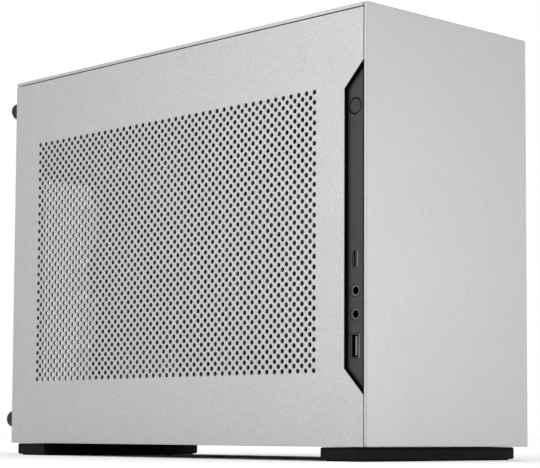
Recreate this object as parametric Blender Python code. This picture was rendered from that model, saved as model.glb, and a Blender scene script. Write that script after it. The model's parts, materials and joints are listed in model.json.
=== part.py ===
"""Small desktop computer tower: an aluminium sandwich case and what it holds.

Sizes are in millimetres and the helpers turn them into metres. X is the width, with the
motherboard chamber at -X and the graphics card chamber at +X. Y runs from the front (-) to
the rear (+), and Z is up from the body's underside. The empty TOWER lifts the body onto its
feet and centres the whole object on its own origin.
"""

import math

import bmesh
import bpy
from mathutils import Matrix, Vector

MM = 0.001
GAP = 0.3  # air between two pieces that touch

# Body
HALF_X = 70.0
FRONT_Y, REAR_Y = -163.0, 163.0
HEIGHT = 244.0
SHEET = 1.5
PANEL_IN = HALF_X - SHEET  # inner face of a side panel
FRAME_X = 67.8  # outer face of the frame's side flanges
FRONT_PLATE, TOP_PLATE = 2.3, 2.0
PLATE_Y = FRONT_Y + FRONT_PLATE  # rear face of the front panel
PANEL_TOP = HEIGHT - TOP_PLATE - 0.5
FLANGE_IN, FLANGE_Z = 57.0, (4.0, 238.0)  # a side panel's rear flange
PEG_RADIUS, PEG_HOLE = 2.6, 3.2
TOP_PEGS = [(x, y) for x in (-55.0, 55.0) for y in (-140.0, 140.0)]
FRONT_PEGS = [(x, z) for x in (-58.0, 58.0) for z in (20.0, 224.0)]

# Frame sheets
FRAME_Y = (-159.9, -158.4)
WALL_Y = (159.8, 161.2)
FLOOR_Z = (0.0, SHEET)
ROOF_Z = (239.9, 241.4)
TRAY_X = (0.0, SHEET)
TRAY_Y, TRAY_TOP = (-150.0, 159.5), 185.2
FRAME_FRONT, FRAME_REAR = -158.1, 159.5  # ends of the floor and of the long flanges
THROUGH_WALL = (WALL_Y[0] - 1.8, WALL_Y[1] + 1.8)  # span of a tool that cuts the rear wall
VENT_SLOT = 3.6

# Feet and thumb screws
FOOT_X, FOOT_HEIGHT = 67.5, 8.0
FOOT_Y = {"front_foot": (-154.8, -125.2), "rear_foot": (129.4, 159.0)}
SCREW_X, SCREW_Z = 64.5, (16.0, 226.0)
HEAD_RADIUS, HEAD_END = 5.5, 170.0
SHANK_RADIUS, SHANK_END = 1.7, 153.0

# Front input and output strip, in a notch of the left panel
NOTCH_Y, NOTCH_Z = -146.0, (42.7, 197.6)
STRIP_X = (-67.8, -66.3)
STRIP_Y, STRIP_Z = (PLATE_Y + GAP, -140.0), (24.0, 216.0)
PORT_Y = -152.2
PORT_X = (-67.7, -54.3)
BUTTON_Z, BUTTON_RADIUS = 187.4, 4.5
USB_C_Z, USB_C, USB_C_ROUND = 102.7, (3.6, 9.2), 1.79
JACK_Z, JACK_RADIUS = {"audio_jack_upper": 85.3, "audio_jack_lower": 72.4}, 3.25
USB_A_Z, USB_A, USB_A_ROUND = 55.0, (6.2, 13.3), 0.7

# Motherboard chamber
BOARD_X = (-8.0, -6.4)
BOARD_Y, BOARD_Z = (-11.3, 158.7), (14.5, 184.5)
BOARD_HOLES = [(148.5, 178.1), (148.5, 20.7), (-6.4, 178.1), (-6.4, 20.7)]
CHIP_X = BOARD_X[0] - GAP  # where a component on the board starts
APERTURE_X, APERTURE_Z = (-48.6, -4.15), (21.0, 179.75)  # 44.45 x 158.75, as on any board
CPU_CENTRE = (85.0, 114.5)

# Power supply
PSU_LOW, PSU_HIGH = (-66.3, -135.0, 20.0), (-2.8, -35.0, 145.0)
PSU_FAN = (-85.0, 82.5)
SWITCH_CENTRE = (-50.0, -136.2, 118.0)
INLET_CENTRE = (-30.0, 209.0)  # of the mains inlet, as (x, z)

# Cooling
RADIATOR_LOW, RADIATOR_HIGH = (-60.0, -150.0, 212.2), (60.0, 127.0, 239.4)
FAN_SIZE, FAN_DEPTH = 120.0, 25.0
FAN_TOP = RADIATOR_LOW[2] - GAP
FAN_Y = {"front": -71.6, "rear": 48.8}
FAN_BORE, FAN_HUB, FAN_SCREW = 58.2, 20.0, 52.5
BLADE_SLANT, BLADE_THICKNESS = math.radians(52), 1.4

# Graphics card
CARD_BOARD_X = (8.6, 10.2)
CARD_Y, CARD_Z = (-110.0, 150.0), (40.0, 150.0)
SHROUD_X = (12.0, 50.0)
CARD_FAN_Y, CARD_FAN_Z = {"front": -46.0, "rear": 62.0}, 95.0
CARD_FAN_RADIUS, CARD_FAN_CLEAR = 47.0, 1.5
SHROUD_WALL = 1.8
SLOT_PITCH, SLOT_X, SLOT_Z = 20.32, (6.0, 20.0), (42.0, 142.0)


def clear_scene():
    for thing in list(bpy.data.objects):
        bpy.data.objects.remove(thing, do_unlink=True)


clear_scene()
TOWER = bpy.data.objects.new("tower", None)
bpy.context.collection.objects.link(TOWER)
TOWER.location = Vector((0.0, -(HEAD_END + FRONT_Y) / 2, FOOT_HEIGHT)) * MM


# ---- materials -----------------------------------------------------------------------------


def material(name, color, roughness, metallic=0.0):
    made = bpy.data.materials.new(name)
    made.use_nodes = True
    shader = made.node_tree.nodes["Principled BSDF"]
    shader.inputs["Base Color"].default_value = (*color, 1.0)
    shader.inputs["Roughness"].default_value = roughness
    shader.inputs["Metallic"].default_value = metallic
    return made


ANODISED = material("anodised_aluminium", (0.62, 0.62, 0.63), 0.42, 1.0)
STEEL = material("black_steel", (0.03, 0.03, 0.032), 0.5, 0.4)
RUBBER = material("rubber", (0.015, 0.015, 0.016), 0.75)
BLACK_PLASTIC = material("black_plastic", (0.02, 0.02, 0.022), 0.45)
PLATED = material("plated_steel", (0.72, 0.72, 0.73), 0.3, 1.0)
FIN = material("fin_aluminium", (0.5, 0.51, 0.52), 0.35, 1.0)
CIRCUIT = material("circuit_board", (0.012, 0.022, 0.018), 0.4)
ZINC = material("zinc_steel", (0.55, 0.56, 0.57), 0.38, 1.0)
CABLE = material("cable", (0.018, 0.018, 0.02), 0.6)


# ---- shapes: each returns a function that draws one closed body into a bmesh ---------------


def box(low, high):
    def draw(bm):
        low_v, high_v = Vector(low), Vector(high)
        size = high_v - low_v
        place = Matrix.Translation((low_v + high_v) / 2) @ Matrix.Diagonal((*size, 1.0))
        bmesh.ops.create_cube(bm, size=1.0, matrix=place)

    return draw


def rod(start, end, radius, sides=24, end_radius=None):
    def draw(bm):
        start_v, end_v = Vector(start), Vector(end)
        run = end_v - start_v
        turn = run.to_track_quat("Z", "Y").to_matrix().to_4x4()
        bmesh.ops.create_cone(
            bm, cap_ends=True, segments=sides, radius1=radius,
            radius2=radius if end_radius is None else end_radius, depth=run.length,
            matrix=Matrix.Translation((start_v + end_v) / 2) @ turn,
        )

    return draw


def prism(outline, axis, low, high):
    """A flat outline pushed along an axis: "x" reads it as (y, z), "y" as (x, z), "z" as (x, y)."""
    place = {
        "x": lambda u, v, w: (w, u, v),
        "y": lambda u, v, w: (u, w, v),
        "z": lambda u, v, w: (u, v, w),
    }[axis]

    def draw(bm):
        lower = bm.faces.new([bm.verts.new(place(u, v, low)) for u, v in outline])
        pushed = bmesh.ops.extrude_face_region(bm, geom=[lower])["geom"]
        verts = [item for item in pushed if isinstance(item, bmesh.types.BMVert)]
        bmesh.ops.translate(bm, verts=verts, vec=Vector(place(0.0, 0.0, high - low)))
        faces = {lower} | {face for vert in verts for face in vert.link_faces}
        bmesh.ops.recalc_face_normals(bm, faces=list(faces))

    return draw


def turned(profile, centre, axis, steps=32):
    """A profile of (radius, distance along the axis), from the axis back to the axis, turned round it."""

    def draw(bm):
        turn = Vector(axis).to_track_quat("Z", "Y").to_matrix().to_4x4()
        place = Matrix.Translation(Vector(centre)) @ turn
        rings = []
        for radius, along in profile:
            if radius == 0.0:
                rings.append([bm.verts.new(place @ Vector((0.0, 0.0, along)))] * steps)
                continue
            angles = [2 * math.pi * k / steps for k in range(steps)]
            rings.append([
                bm.verts.new(place @ Vector((radius * math.cos(a), radius * math.sin(a), along)))
                for a in angles
            ])
        for one, two in zip(rings, rings[1:]):
            for k in range(steps):
                after = (k + 1) % steps
                corners = [one[k], one[after], two[after], two[k]]
                kept = [v for i, v in enumerate(corners) if v not in corners[:i]]
                bm.faces.new(kept)
        faces = {face for ring in rings for vert in ring for face in vert.link_faces}
        bmesh.ops.recalc_face_normals(bm, faces=list(faces))

    return draw


def rounded(centre, size, radius, grow=0.0):
    """Outline of a rectangle with round corners, grown outward by a margin."""
    reach = radius + grow
    half = [side / 2 - radius for side in size]
    outline = []
    for corner in range(4):
        sign_u = 1 if corner in (0, 3) else -1
        sign_v = 1 if corner in (0, 1) else -1
        for step in range(5):
            angle = math.radians(90 * corner + 22.5 * step)
            outline.append((
                centre[0] + sign_u * half[0] + reach * math.cos(angle),
                centre[1] + sign_v * half[1] + reach * math.sin(angle),
            ))
    return outline


def comb(low, high, root, height, fins):
    """Outline of a finned block as (along, height) points: fins stand side by side on a root."""
    pitch = (high - low) / (2 * fins - 1)
    outline = [(high, 0.0), (low, 0.0)]
    for k in range(fins):
        left = low + 2 * k * pitch
        outline += [(left, height), (left + pitch, height)]
        if k < fins - 1:
            outline += [(left + pitch, root), (left + 2 * pitch, root)]
    return outline


def bent_strip(points, thickness):
    """Outline of a strip of even thickness that follows a line of points with square corners."""
    sides = ([], [])
    for k, point in enumerate(points):
        here = Vector(point)
        before = (here - Vector(points[k - 1])).normalized() if k else None
        after = (Vector(points[k + 1]) - here).normalized() if k < len(points) - 1 else None
        run = ((before or after) + (after or before)).normalized()
        stretch = thickness / 2 / max(run.dot(after or before), 0.3)
        normal = Vector((-run.y, run.x)) * stretch
        sides[0].append(tuple(here + normal))
        sides[1].append(tuple(here - normal))
    return sides[0] + sides[1][::-1]


# ---- objects -------------------------------------------------------------------------------


def body_mesh(name, shapes, pivot):
    bm = bmesh.new()
    for draw in shapes:
        draw(bm)
    bmesh.ops.translate(bm, verts=bm.verts, vec=-pivot)
    bmesh.ops.scale(bm, verts=bm.verts, vec=(MM, MM, MM))
    mesh = bpy.data.meshes.new(name)
    bm.to_mesh(mesh)
    bm.free()
    return mesh


def place(thing, pivot):
    bpy.context.collection.objects.link(thing)
    thing.parent = TOWER
    thing.location = pivot * MM
    return thing


def solid(name, shape, finish, pivot=(0.0, 0.0, 0.0), steps=(), bevel=0.0, smooth=False):
    """One named piece. Each step cuts shapes away or joins them on, in order."""
    pivot = Vector(pivot)
    piece = place(bpy.data.objects.new(name, body_mesh(name, [shape], pivot)), pivot)
    piece.data.materials.append(finish)
    if bevel:
        edges = piece.modifiers.new("soft edges", "BEVEL")
        edges.width = bevel * MM
        edges.segments = 2
        edges.limit_method = "ANGLE"
    for number, (operation, shapes) in enumerate(steps):
        tool_name = f"{name}.tool{number}"
        tool = place(bpy.data.objects.new(tool_name, body_mesh(tool_name, shapes, pivot)), pivot)
        tool.hide_render = True
        tool.display_type = "WIRE"
        change = piece.modifiers.new(operation.lower(), "BOOLEAN")
        change.operation = operation
        change.object = tool
    if smooth:
        piece.data.shade_smooth()
        piece.data.set_sharp_from_angle(angle=math.radians(35))
    return piece


def cut(*shapes):
    return ("DIFFERENCE", shapes)


def join(*shapes):
    return ("UNION", shapes)


def smooth_route(points, spacing):
    """Points about a spacing apart on a Catmull-Rom curve through the route's own points."""
    knots = [Vector(p) for p in points]
    knots = [2 * knots[0] - knots[1], *knots, 2 * knots[-1] - knots[-2]]
    route = []
    for a, b, c, d in zip(knots, knots[1:], knots[2:], knots[3:]):
        pieces = max(1, round((c - b).length / spacing))
        for k in range(pieces):
            t = k / pieces
            route.append(0.5 * (
                2 * b + (c - a) * t + (2 * a - 5 * b + 4 * c - d) * t**2
                + (3 * b - a - 3 * c + d) * t**3
            ))
    return [*route, knots[-2]]


def tube(name, points, radius, finish):
    data = bpy.data.curves.new(name, "CURVE")
    data.dimensions = "3D"
    data.bevel_depth = radius * MM
    data.bevel_resolution = 2
    data.use_fill_caps = True
    route = smooth_route(points, 2.5 * radius)
    spline = data.splines.new("POLY")
    spline.points.add(len(route) - 1)
    for spot, at in zip(spline.points, route):
        spot.co = (*(at * MM), 1.0)
    data.materials.append(finish)
    return place(bpy.data.objects.new(name, data), Vector((0.0, 0.0, 0.0)))


# ---- frame ---------------------------------------------------------------------------------


def side_flanges(z_low, z_high, y_low, y_high):
    return [
        box((side * FRAME_X - (SHEET if side > 0 else 0.0), y_low, z_low),
            (side * FRAME_X + (0.0 if side > 0 else SHEET), y_high, z_high))
        for side in (-1, 1)
    ]


def base_plate():
    """Floor of the case, with vent slots on both sides of the tray and an upturned side flange."""
    slots = [box((-48.0, y, -1.0), (-8.0, y + VENT_SLOT, 3.0)) for y in range(-110, 100, 30)]
    slots += [box((8.0, y, -1.0), (56.0, y + VENT_SLOT, 3.0)) for y in range(-110, 120, 20)]
    sheet = box((-FRAME_X, FRAME_FRONT, FLOOR_Z[0]), (FRAME_X, WALL_Y[1], FLOOR_Z[1]))
    flanges = side_flanges(FLOOR_Z[1] / 2, 12.0, FRAME_FRONT, FRAME_REAR)
    solid("base_plate", sheet, STEEL, steps=[join(*flanges), cut(*slots)])


def rear_wall():
    near, far = THROUGH_WALL
    screws = [rod((side * SCREW_X, near, z), (side * SCREW_X, far, z), 2.3, 12)
              for side in (-1, 1) for z in SCREW_Z]
    slots = [box((SLOT_X[0] + k * SLOT_PITCH, near, SLOT_Z[0]), (SLOT_X[1] + k * SLOT_PITCH, far, SLOT_Z[1]))
             for k in range(3)]
    vents = [box((x, near, 194.0), (x + 5.0, far, 230.0)) for x in range(4, 54, 10)]
    x, z = INLET_CENTRE
    inlet = box((x - 14.3, near, z - 10.3), (x + 14.3, far, z + 10.3))
    aperture = box((APERTURE_X[0], near, APERTURE_Z[0]), (APERTURE_X[1], far, APERTURE_Z[1]))
    sheet = box((-FRAME_X, WALL_Y[0], FLOOR_Z[1] + GAP), (FRAME_X, WALL_Y[1], ROOF_Z[0] - GAP))
    solid("rear_wall", sheet, STEEL, steps=[cut(aperture), cut(inlet, *slots, *vents, *screws)])


def front_frame():
    """Upright sheet behind the front panel, with a cable window and holes for the panel's pegs."""
    near, far = FRAME_Y[0] - 1.1, FRAME_Y[1] + 1.4
    holes = [rod((x, near, z), (x, far, z), PEG_HOLE, 12) for x, z in FRONT_PEGS]
    window = box((-48.0, near, 34.0), (48.0, far, 210.0))
    sheet = box((-66.0, FRAME_Y[0], 0.0), (FRAME_X, FRAME_Y[1], ROOF_Z[1]))
    solid("front_frame", sheet, STEEL, steps=[cut(window, *holes)])


def top_frame():
    """Sheet under the top panel, with an air window over each fan and a downturned side flange."""
    low, high = ROOF_Z[0] - 1.9, ROOF_Z[1] + 1.6
    holes = [rod((x, y, low), (x, y, high), PEG_HOLE, 12) for x, y in TOP_PEGS]
    windows = [box((-46.0, y - 55.0, low), (46.0, y + 55.0, high)) for y in FAN_Y.values()]
    sheet = box((-FRAME_X, FRAME_FRONT, ROOF_Z[0]), (FRAME_X, WALL_Y[1], ROOF_Z[1]))
    flanges = side_flanges(229.0, ROOF_Z[0] + 0.7, FRAME_FRONT, FRAME_REAR)
    solid("top_frame", sheet, STEEL, steps=[join(*flanges), cut(*windows, *holes)])


def center_tray():
    """Wall between the two chambers: it carries the board on four posts and has three windows."""
    posts = [rod((BOARD_X[1] + GAP, y, z), (0.7, y, z), 3.0, 6) for y, z in BOARD_HOLES]
    openings = [
        box((-1.0, 48.0, 0.0), (3.0, 152.0, 13.0)),
        box((-1.0, -32.0, 30.0), (3.0, -15.0, 165.0)),
        box((-1.0, 52.0, 80.0), (3.0, 118.0, 148.0)),
    ]
    sheet = box((TRAY_X[0], TRAY_Y[0], FLOOR_Z[1] + GAP), (TRAY_X[1], TRAY_Y[1], TRAY_TOP))
    solid("center_tray", sheet, STEEL, steps=[join(*posts), cut(*openings)])


# ---- outer panels, feet and thumb screws ---------------------------------------------------


def side_panel(name, side):
    """Flat sheet with a rear flange for two captive thumb screws. The left one is notched."""
    front, rear = PLATE_Y + GAP, REAR_Y
    depth = NOTCH_Y - front
    outline = [(front, 0.0), (rear, 0.0), (rear, PANEL_TOP), (front, PANEL_TOP)]
    if side < 0:
        outline += [
            (front, NOTCH_Z[1] + depth), (NOTCH_Y, NOTCH_Z[1]),
            (NOTCH_Y, NOTCH_Z[0]), (front, NOTCH_Z[0] - depth),
        ]
    faces = sorted((side * HALF_X, side * PANEL_IN))
    flange = sorted((side * (PANEL_IN + 0.5), side * FLANGE_IN))
    holes = [rod((side * SCREW_X, 160.0, z), (side * SCREW_X, 165.0, z), 2.1, 12) for z in SCREW_Z]
    solid(name, prism(outline, "x", *faces), ANODISED, pivot=(side * PANEL_IN, 0.0, HEIGHT / 2), steps=[
        join(box((flange[0], REAR_Y - SHEET, FLANGE_Z[0]), (flange[1], REAR_Y, FLANGE_Z[1]))),
        cut(*holes),
    ])


def thumb_screw(name, side, z):
    """Captive screw: its head stands behind the flange and its shank passes the rear wall."""
    profile = [
        (0.0, HEAD_END), (HEAD_RADIUS - 0.7, HEAD_END), (HEAD_RADIUS, HEAD_END - 0.7),
        (HEAD_RADIUS, REAR_Y + 1.0), (HEAD_RADIUS - 0.6, REAR_Y + GAP), (SHANK_RADIUS, REAR_Y + GAP),
        (SHANK_RADIUS, SHANK_END + 1.0), (SHANK_RADIUS - 0.7, SHANK_END), (0.0, SHANK_END),
    ]
    solid(name, turned(profile, (side * SCREW_X, 0.0, z), (0, 1, 0), 24), BLACK_PLASTIC,
          pivot=(side * SCREW_X, REAR_Y, z), smooth=True)


def top_panel():
    """Plate on four short pegs, which drop into the frame's holes and end flush with its sheet."""
    pegs = [rod((x, y, ROOF_Z[0] - 0.1), (x, y, HEIGHT - 1.0), PEG_RADIUS, 12) for x, y in TOP_PEGS]
    plate = box((-HALF_X, PLATE_Y + GAP, HEIGHT - TOP_PLATE), (HALF_X, REAR_Y, HEIGHT))
    solid("top_panel", plate, ANODISED, pivot=(0.0, 0.0, HEIGHT), steps=[join(*pegs)])


def front_panel():
    """Plain plate that covers the edges of the other panels, on four pegs."""
    pegs = [rod((x, PLATE_Y - 1.0, z), (x, -155.0, z), PEG_RADIUS, 12) for x, z in FRONT_PEGS]
    plate = box((-HALF_X, FRONT_Y, 0.0), (HALF_X, PLATE_Y, HEIGHT))
    solid("front_panel", plate, ANODISED, pivot=(0.0, FRONT_Y, HEIGHT / 2), steps=[join(*pegs)])


def foot(name, front, rear):
    solid(name, box((-FOOT_X, front, -FOOT_HEIGHT), (FOOT_X, rear, -GAP)), RUBBER,
          pivot=(0.0, (front + rear) / 2, -FOOT_HEIGHT), bevel=0.8)


# ---- front input and output strip ----------------------------------------------------------


def around(centre, size, x_low, x_high):
    """A block centred on (y, z) with a (y, z) size, between two x planes."""
    (y, z), (wide, tall) = centre, size
    return box((x_low, y - wide / 2, z - tall / 2), (x_high, y + wide / 2, z + tall / 2))


def io_strip():
    """Black strip with a hole for the button and each port, and the small board behind it."""
    near, far = STRIP_X[0] - 2.2, STRIP_X[1] + 2.3
    holes = [rod((near, PORT_Y, z), (far, PORT_Y, z), JACK_RADIUS + GAP, 20) for z in JACK_Z.values()]
    holes += [
        rod((near, PORT_Y, BUTTON_Z), (far, PORT_Y, BUTTON_Z), BUTTON_RADIUS + GAP, 32),
        prism(rounded((PORT_Y, USB_C_Z), USB_C, USB_C_ROUND, GAP), "x", near, far),
        prism(rounded((PORT_Y, USB_A_Z), USB_A, USB_A_ROUND, GAP), "x", near, far),
    ]
    face = box((STRIP_X[0], STRIP_Y[0], STRIP_Z[0]), (STRIP_X[1], STRIP_Y[1], STRIP_Z[1]))
    solid("io_strip", face, STEEL, steps=[cut(*holes)])
    solid("io_board", box((-54.0, -157.5, 40.0), (-52.4, -142.0, 193.0)), CIRCUIT)


def power_button():
    """Round cap flush with the strip, a collar behind it that stops it falling out, and its stem."""
    profile = [(0.0, 0.0), (BUTTON_RADIUS - 0.3, 0.0), (BUTTON_RADIUS, 0.3), (BUTTON_RADIUS, 1.9),
               (BUTTON_RADIUS + 0.9, 1.9), (BUTTON_RADIUS + 0.9, 2.9), (2.0, 2.9), (2.0, 10.5), (0.0, 10.5)]
    solid("power_button", turned(profile, (STRIP_X[0], PORT_Y, BUTTON_Z), (1, 0, 0), 32), STEEL,
          pivot=(STRIP_X[0], PORT_Y, BUTTON_Z), smooth=True)


def shell_port(name, z, size, radius, wall, tongue):
    """A metal socket shell that opens at -X, with a contact tongue on its back plate."""
    centre = (PORT_Y, z)
    outer = prism(rounded(centre, size, radius), "x", *PORT_X)
    inner = prism(rounded(centre, size, radius, -wall), "x", PORT_X[0] - 1.0, PORT_X[1] - 1.0)
    solid(name, outer, PLATED, pivot=(PORT_X[0], *centre), steps=[
        cut(inner),
        join(around((PORT_Y + tongue[2], z), tongue[:2], PORT_X[0] + 1.5, PORT_X[1] - 0.5)),
    ])


def audio_jack(name, z):
    solid(name, rod((PORT_X[0], PORT_Y, z), (PORT_X[1], PORT_Y, z), JACK_RADIUS, 20), BLACK_PLASTIC,
          pivot=(PORT_X[0], PORT_Y, z), smooth=True,
          steps=[cut(rod((PORT_X[0] - 1.0, PORT_Y, z), (PORT_X[1] - 1.0, PORT_Y, z), 1.8, 16))])


# ---- motherboard ---------------------------------------------------------------------------


def motherboard():
    """The board, its processor, and the cold plate and round cap of the pump that sits on it."""
    holes = [rod((BOARD_X[0] - 2, y, z), (BOARD_X[1] + 2, y, z), 1.6, 10) for y, z in BOARD_HOLES]
    board = box((BOARD_X[0], BOARD_Y[0], BOARD_Z[0]), (BOARD_X[1], BOARD_Y[1], BOARD_Z[1]))
    solid("motherboard", board, CIRCUIT, steps=[cut(*holes)])
    solid("processor", around(CPU_CENTRE, (37.5, 45.0), -13.2, CHIP_X), PLATED)
    cap = turned([(0, -48), (27, -48), (30, -45), (30, -20), (0, -20)], (0, *CPU_CENTRE), (1, 0, 0))
    solid("pump_block", cap, BLACK_PLASTIC, smooth=True,
          steps=[join(around(CPU_CENTRE, (56.0, 56.0), -22.0, -13.5))])


def rear_ports():
    """Low connectors along the board's rear edge. Each opens at the rear through the aperture."""
    blocks = {
        "rear_audio_jacks": (-20.5, (28.0, 64.0), [(33.5 + 12.5 * k, 7.0, 7.0) for k in range(3)]),
        "rear_usb_ports": (-15.6, (68.0, 99.0), [(75.5, 13.0, 5.4), (91.5, 13.0, 5.4)]),
        "rear_lan_jack": (-21.8, (104.5, 120.5), [(112.5, 12.0, 9.5)]),
        "rear_display_ports": (-15.2, (128.0, 166.0), [(137.5, 15.0, 5.0), (156.5, 16.0, 5.0)]),
    }
    for name, (top, (low, high), mouths) in blocks.items():
        middle = (top + CHIP_X) / 2
        sockets = [
            box((middle - deep / 2, 150.0, z - wide / 2), (middle + deep / 2, 162.0, z + wide / 2))
            for z, wide, deep in mouths
        ]
        solid(name, box((top, 141.0, low), (CHIP_X, 160.8, high)), PLATED, steps=[cut(*sockets)])


def board_components():
    """Two memory modules, the power socket, the card slot and two heat sinks."""
    for number, y in enumerate((8.0, 18.0), 1):
        module = box((-44.0, y, 42.0), (CHIP_X, y + 7.0, 175.3))
        solid(f"memory_module_{number}", module, BLACK_PLASTIC, bevel=0.6)
    solid("atx_socket", box((-20.0, -10.5, 116.0), (CHIP_X, -1.0, 168.0)), BLACK_PLASTIC)
    solid("pcie_slot", box((-19.3, 55.0, 18.0), (CHIP_X, 144.0, 26.0)), BLACK_PLASTIC)
    sinks = {"ssd_heatsink": (34.0, 60.0, 3.0, 7.0, 7), "vrm_heatsink": (152.0, 180.0, 5.0, 22.0, 6)}
    for name, shape in sinks.items():
        outline = [(CHIP_X - height, z) for z, height in comb(*shape)]
        solid(name, prism(outline, "y", 40.0, 118.0), FIN)


# ---- cooling -------------------------------------------------------------------------------


def radiator():
    """Liquid cooler's heat exchanger, as a block with a shallow step along both lower edges."""
    low, high = RADIATOR_LOW, RADIATOR_HIGH
    steps = [
        box((x - 4.0, low[1] + 20.0, low[2] - 1.0), (x + 4.0, high[1] - 20.0, low[2] + 2.0))
        for x in (low[0], high[0])
    ]
    solid("radiator", box(low, high), BLACK_PLASTIC, bevel=0.8, steps=[cut(*steps)])


def blades(centre, axis, inner, tip, low, high, count):
    """Fan blades: each a thin slab from inside the hub to the tip, slanted about its own length."""
    fan_turn = Vector(axis).to_track_quat("Z", "Y").to_matrix().to_4x4()
    slant = Matrix.Rotation(BLADE_SLANT, 4, "X")
    chord = (high - low) / math.sin(BLADE_SLANT)
    size = Matrix.Diagonal((tip - inner, chord, BLADE_THICKNESS, 1.0))
    reach = Matrix.Translation(((inner + tip) / 2, 0.0, (low + high) / 2))

    def blade(angle):
        spin = Matrix.Rotation(angle, 4, "Z")
        whole = Matrix.Translation(Vector(centre)) @ fan_turn @ spin @ reach @ slant @ size
        return lambda bm: bmesh.ops.create_cube(bm, size=1.0, matrix=whole)

    return [blade(2 * math.pi * k / count) for k in range(count)]


def rotor(name, centre, axis, hub, tip, depth, count):
    profile = [(0.0, 0.0), (hub - 1.5, 0.0), (hub, 1.5), (hub, depth), (0.0, depth)]
    solid(name, turned(profile, centre, axis, 28), BLACK_PLASTIC, pivot=centre,
          steps=[join(*blades(centre, axis, hub - 1.5, tip, 2.0, depth - 2.0, count))])


def case_fan(place_name, y):
    """Square frame with crossed arms under its bore, and the rotor that turns above them."""
    half = FAN_SIZE / 2
    low, high = FAN_TOP - FAN_DEPTH, FAN_TOP
    corners = [(sx * FAN_SCREW, y + sy * FAN_SCREW) for sx in (-1, 1) for sy in (-1, 1)]
    holes = [rod((cx, cy, low - 1), (cx, cy, high + 1), 2.2, 8) for cx, cy in corners]
    arms = [box((-half + 1.0, y - 2.0, low + 0.5), (half - 1.0, y + 2.0, low + 3.5)),
            box((-2.0, y - half + 1.0, low + 0.5), (2.0, y + half - 1.0, low + 3.5)),
            rod((0, y, low), (0, y, low + 4.0), FAN_HUB, 24)]
    bore = rod((0, y, low - 1), (0, y, high + 1), FAN_BORE, 40)
    block = box((-half, y - half, low), (half, y + half, high))
    solid(f"fan_frame_{place_name}", block, BLACK_PLASTIC,
          steps=[cut(bore, *holes), *[join(arm) for arm in arms]])
    rotor(f"fan_rotor_{place_name}", (0.0, y, low + 5.0), (0, 0, 1), FAN_HUB, FAN_BORE - 2.2, 18.0, 9)


def hoses():
    tube("coolant_hose_front", [
        (-38, 73, 145.2), (-38, 74, 156), (-38, 86, 170), (-37, 101, 176), (-35, 113, 184),
        (-34, 118.5, 197), (-34, 118.5, 211.7),
    ], 5.0, RUBBER)
    tube("coolant_hose_rear", [
        (-38, 91, 145.2), (-39, 92, 153), (-44, 100, 164), (-49, 111, 177), (-51, 118.5, 193),
        (-51, 118.5, 211.7),
    ], 5.0, RUBBER)


# ---- power ---------------------------------------------------------------------------------


def power_supply():
    """Housing with a fan pocket, an inlet and a switch hole, its rotor, wire guard and bracket."""
    y, z = PSU_FAN
    pocket = rod((PSU_LOW[0] - 1.0, y, z), (PSU_LOW[0] + 24.0, y, z), 47.0, 36)
    inlet = box((-42.0, PSU_LOW[1] - 1.0, 52.0), (-18.0, PSU_LOW[1] + 16.0, 70.0))
    sx, _, sz = SWITCH_CENTRE
    rocker = box((sx - 6.2, PSU_LOW[1] - 1.0, sz - 8.9), (sx + 6.2, PSU_LOW[1] + 7.0, sz + 8.9))
    solid("psu_housing", box(PSU_LOW, PSU_HIGH), STEEL, bevel=0.6, steps=[cut(pocket, inlet, rocker)])
    rotor("psu_fan_rotor", (PSU_LOW[0] + 3.0, y, z), (1, 0, 0), 16.0, 45.0, 17.0, 7)
    x0, x1 = PSU_LOW[0] - 1.3, PSU_LOW[0] - GAP
    ring = rod((x0, y, z), (x1, y, z), 48.0, 36)
    hollow = rod((x0 - 1, y, z), (x1 + 1, y, z), 46.4, 36)
    bars = [
        box((x0, y - 47.0, z - 0.9), (x1, y + 47.0, z + 0.9)),
        box((x0, y - 0.9, z - 47.0), (x1, y + 0.9, z + 47.0)),
        rod((x0, y, z), (x1, y, z), 14.0, 24),
    ]
    solid("psu_fan_grille", ring, PLATED, steps=[cut(hollow), *[join(bar) for bar in bars]])
    solid("psu_bracket", box((-66.0, -137.0, 1.8), (-0.3, -135.3, 160.0)), STEEL,
          steps=[cut(box((-60.0, -138.0, 44.0), (-8.0, -134.0, 136.0)))])


def psu_switch():
    """Rocker that tips about X. At rest its lower half is pressed in."""
    x, y, z = SWITCH_CENTRE
    lean = math.radians(7)
    outline = []
    for v, w in ((-8.0, -1.2), (0.0, 0.4), (8.0, -1.2), (8.0, 3.6), (-8.0, 3.6)):
        outline.append((
            y + w * math.cos(lean) - v * math.sin(lean),
            z + v * math.cos(lean) + w * math.sin(lean),
        ))
    solid("psu_switch", prism(outline, "x", x - 5.5, x + 5.5), BLACK_PLASTIC, pivot=SWITCH_CENTRE)


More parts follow.
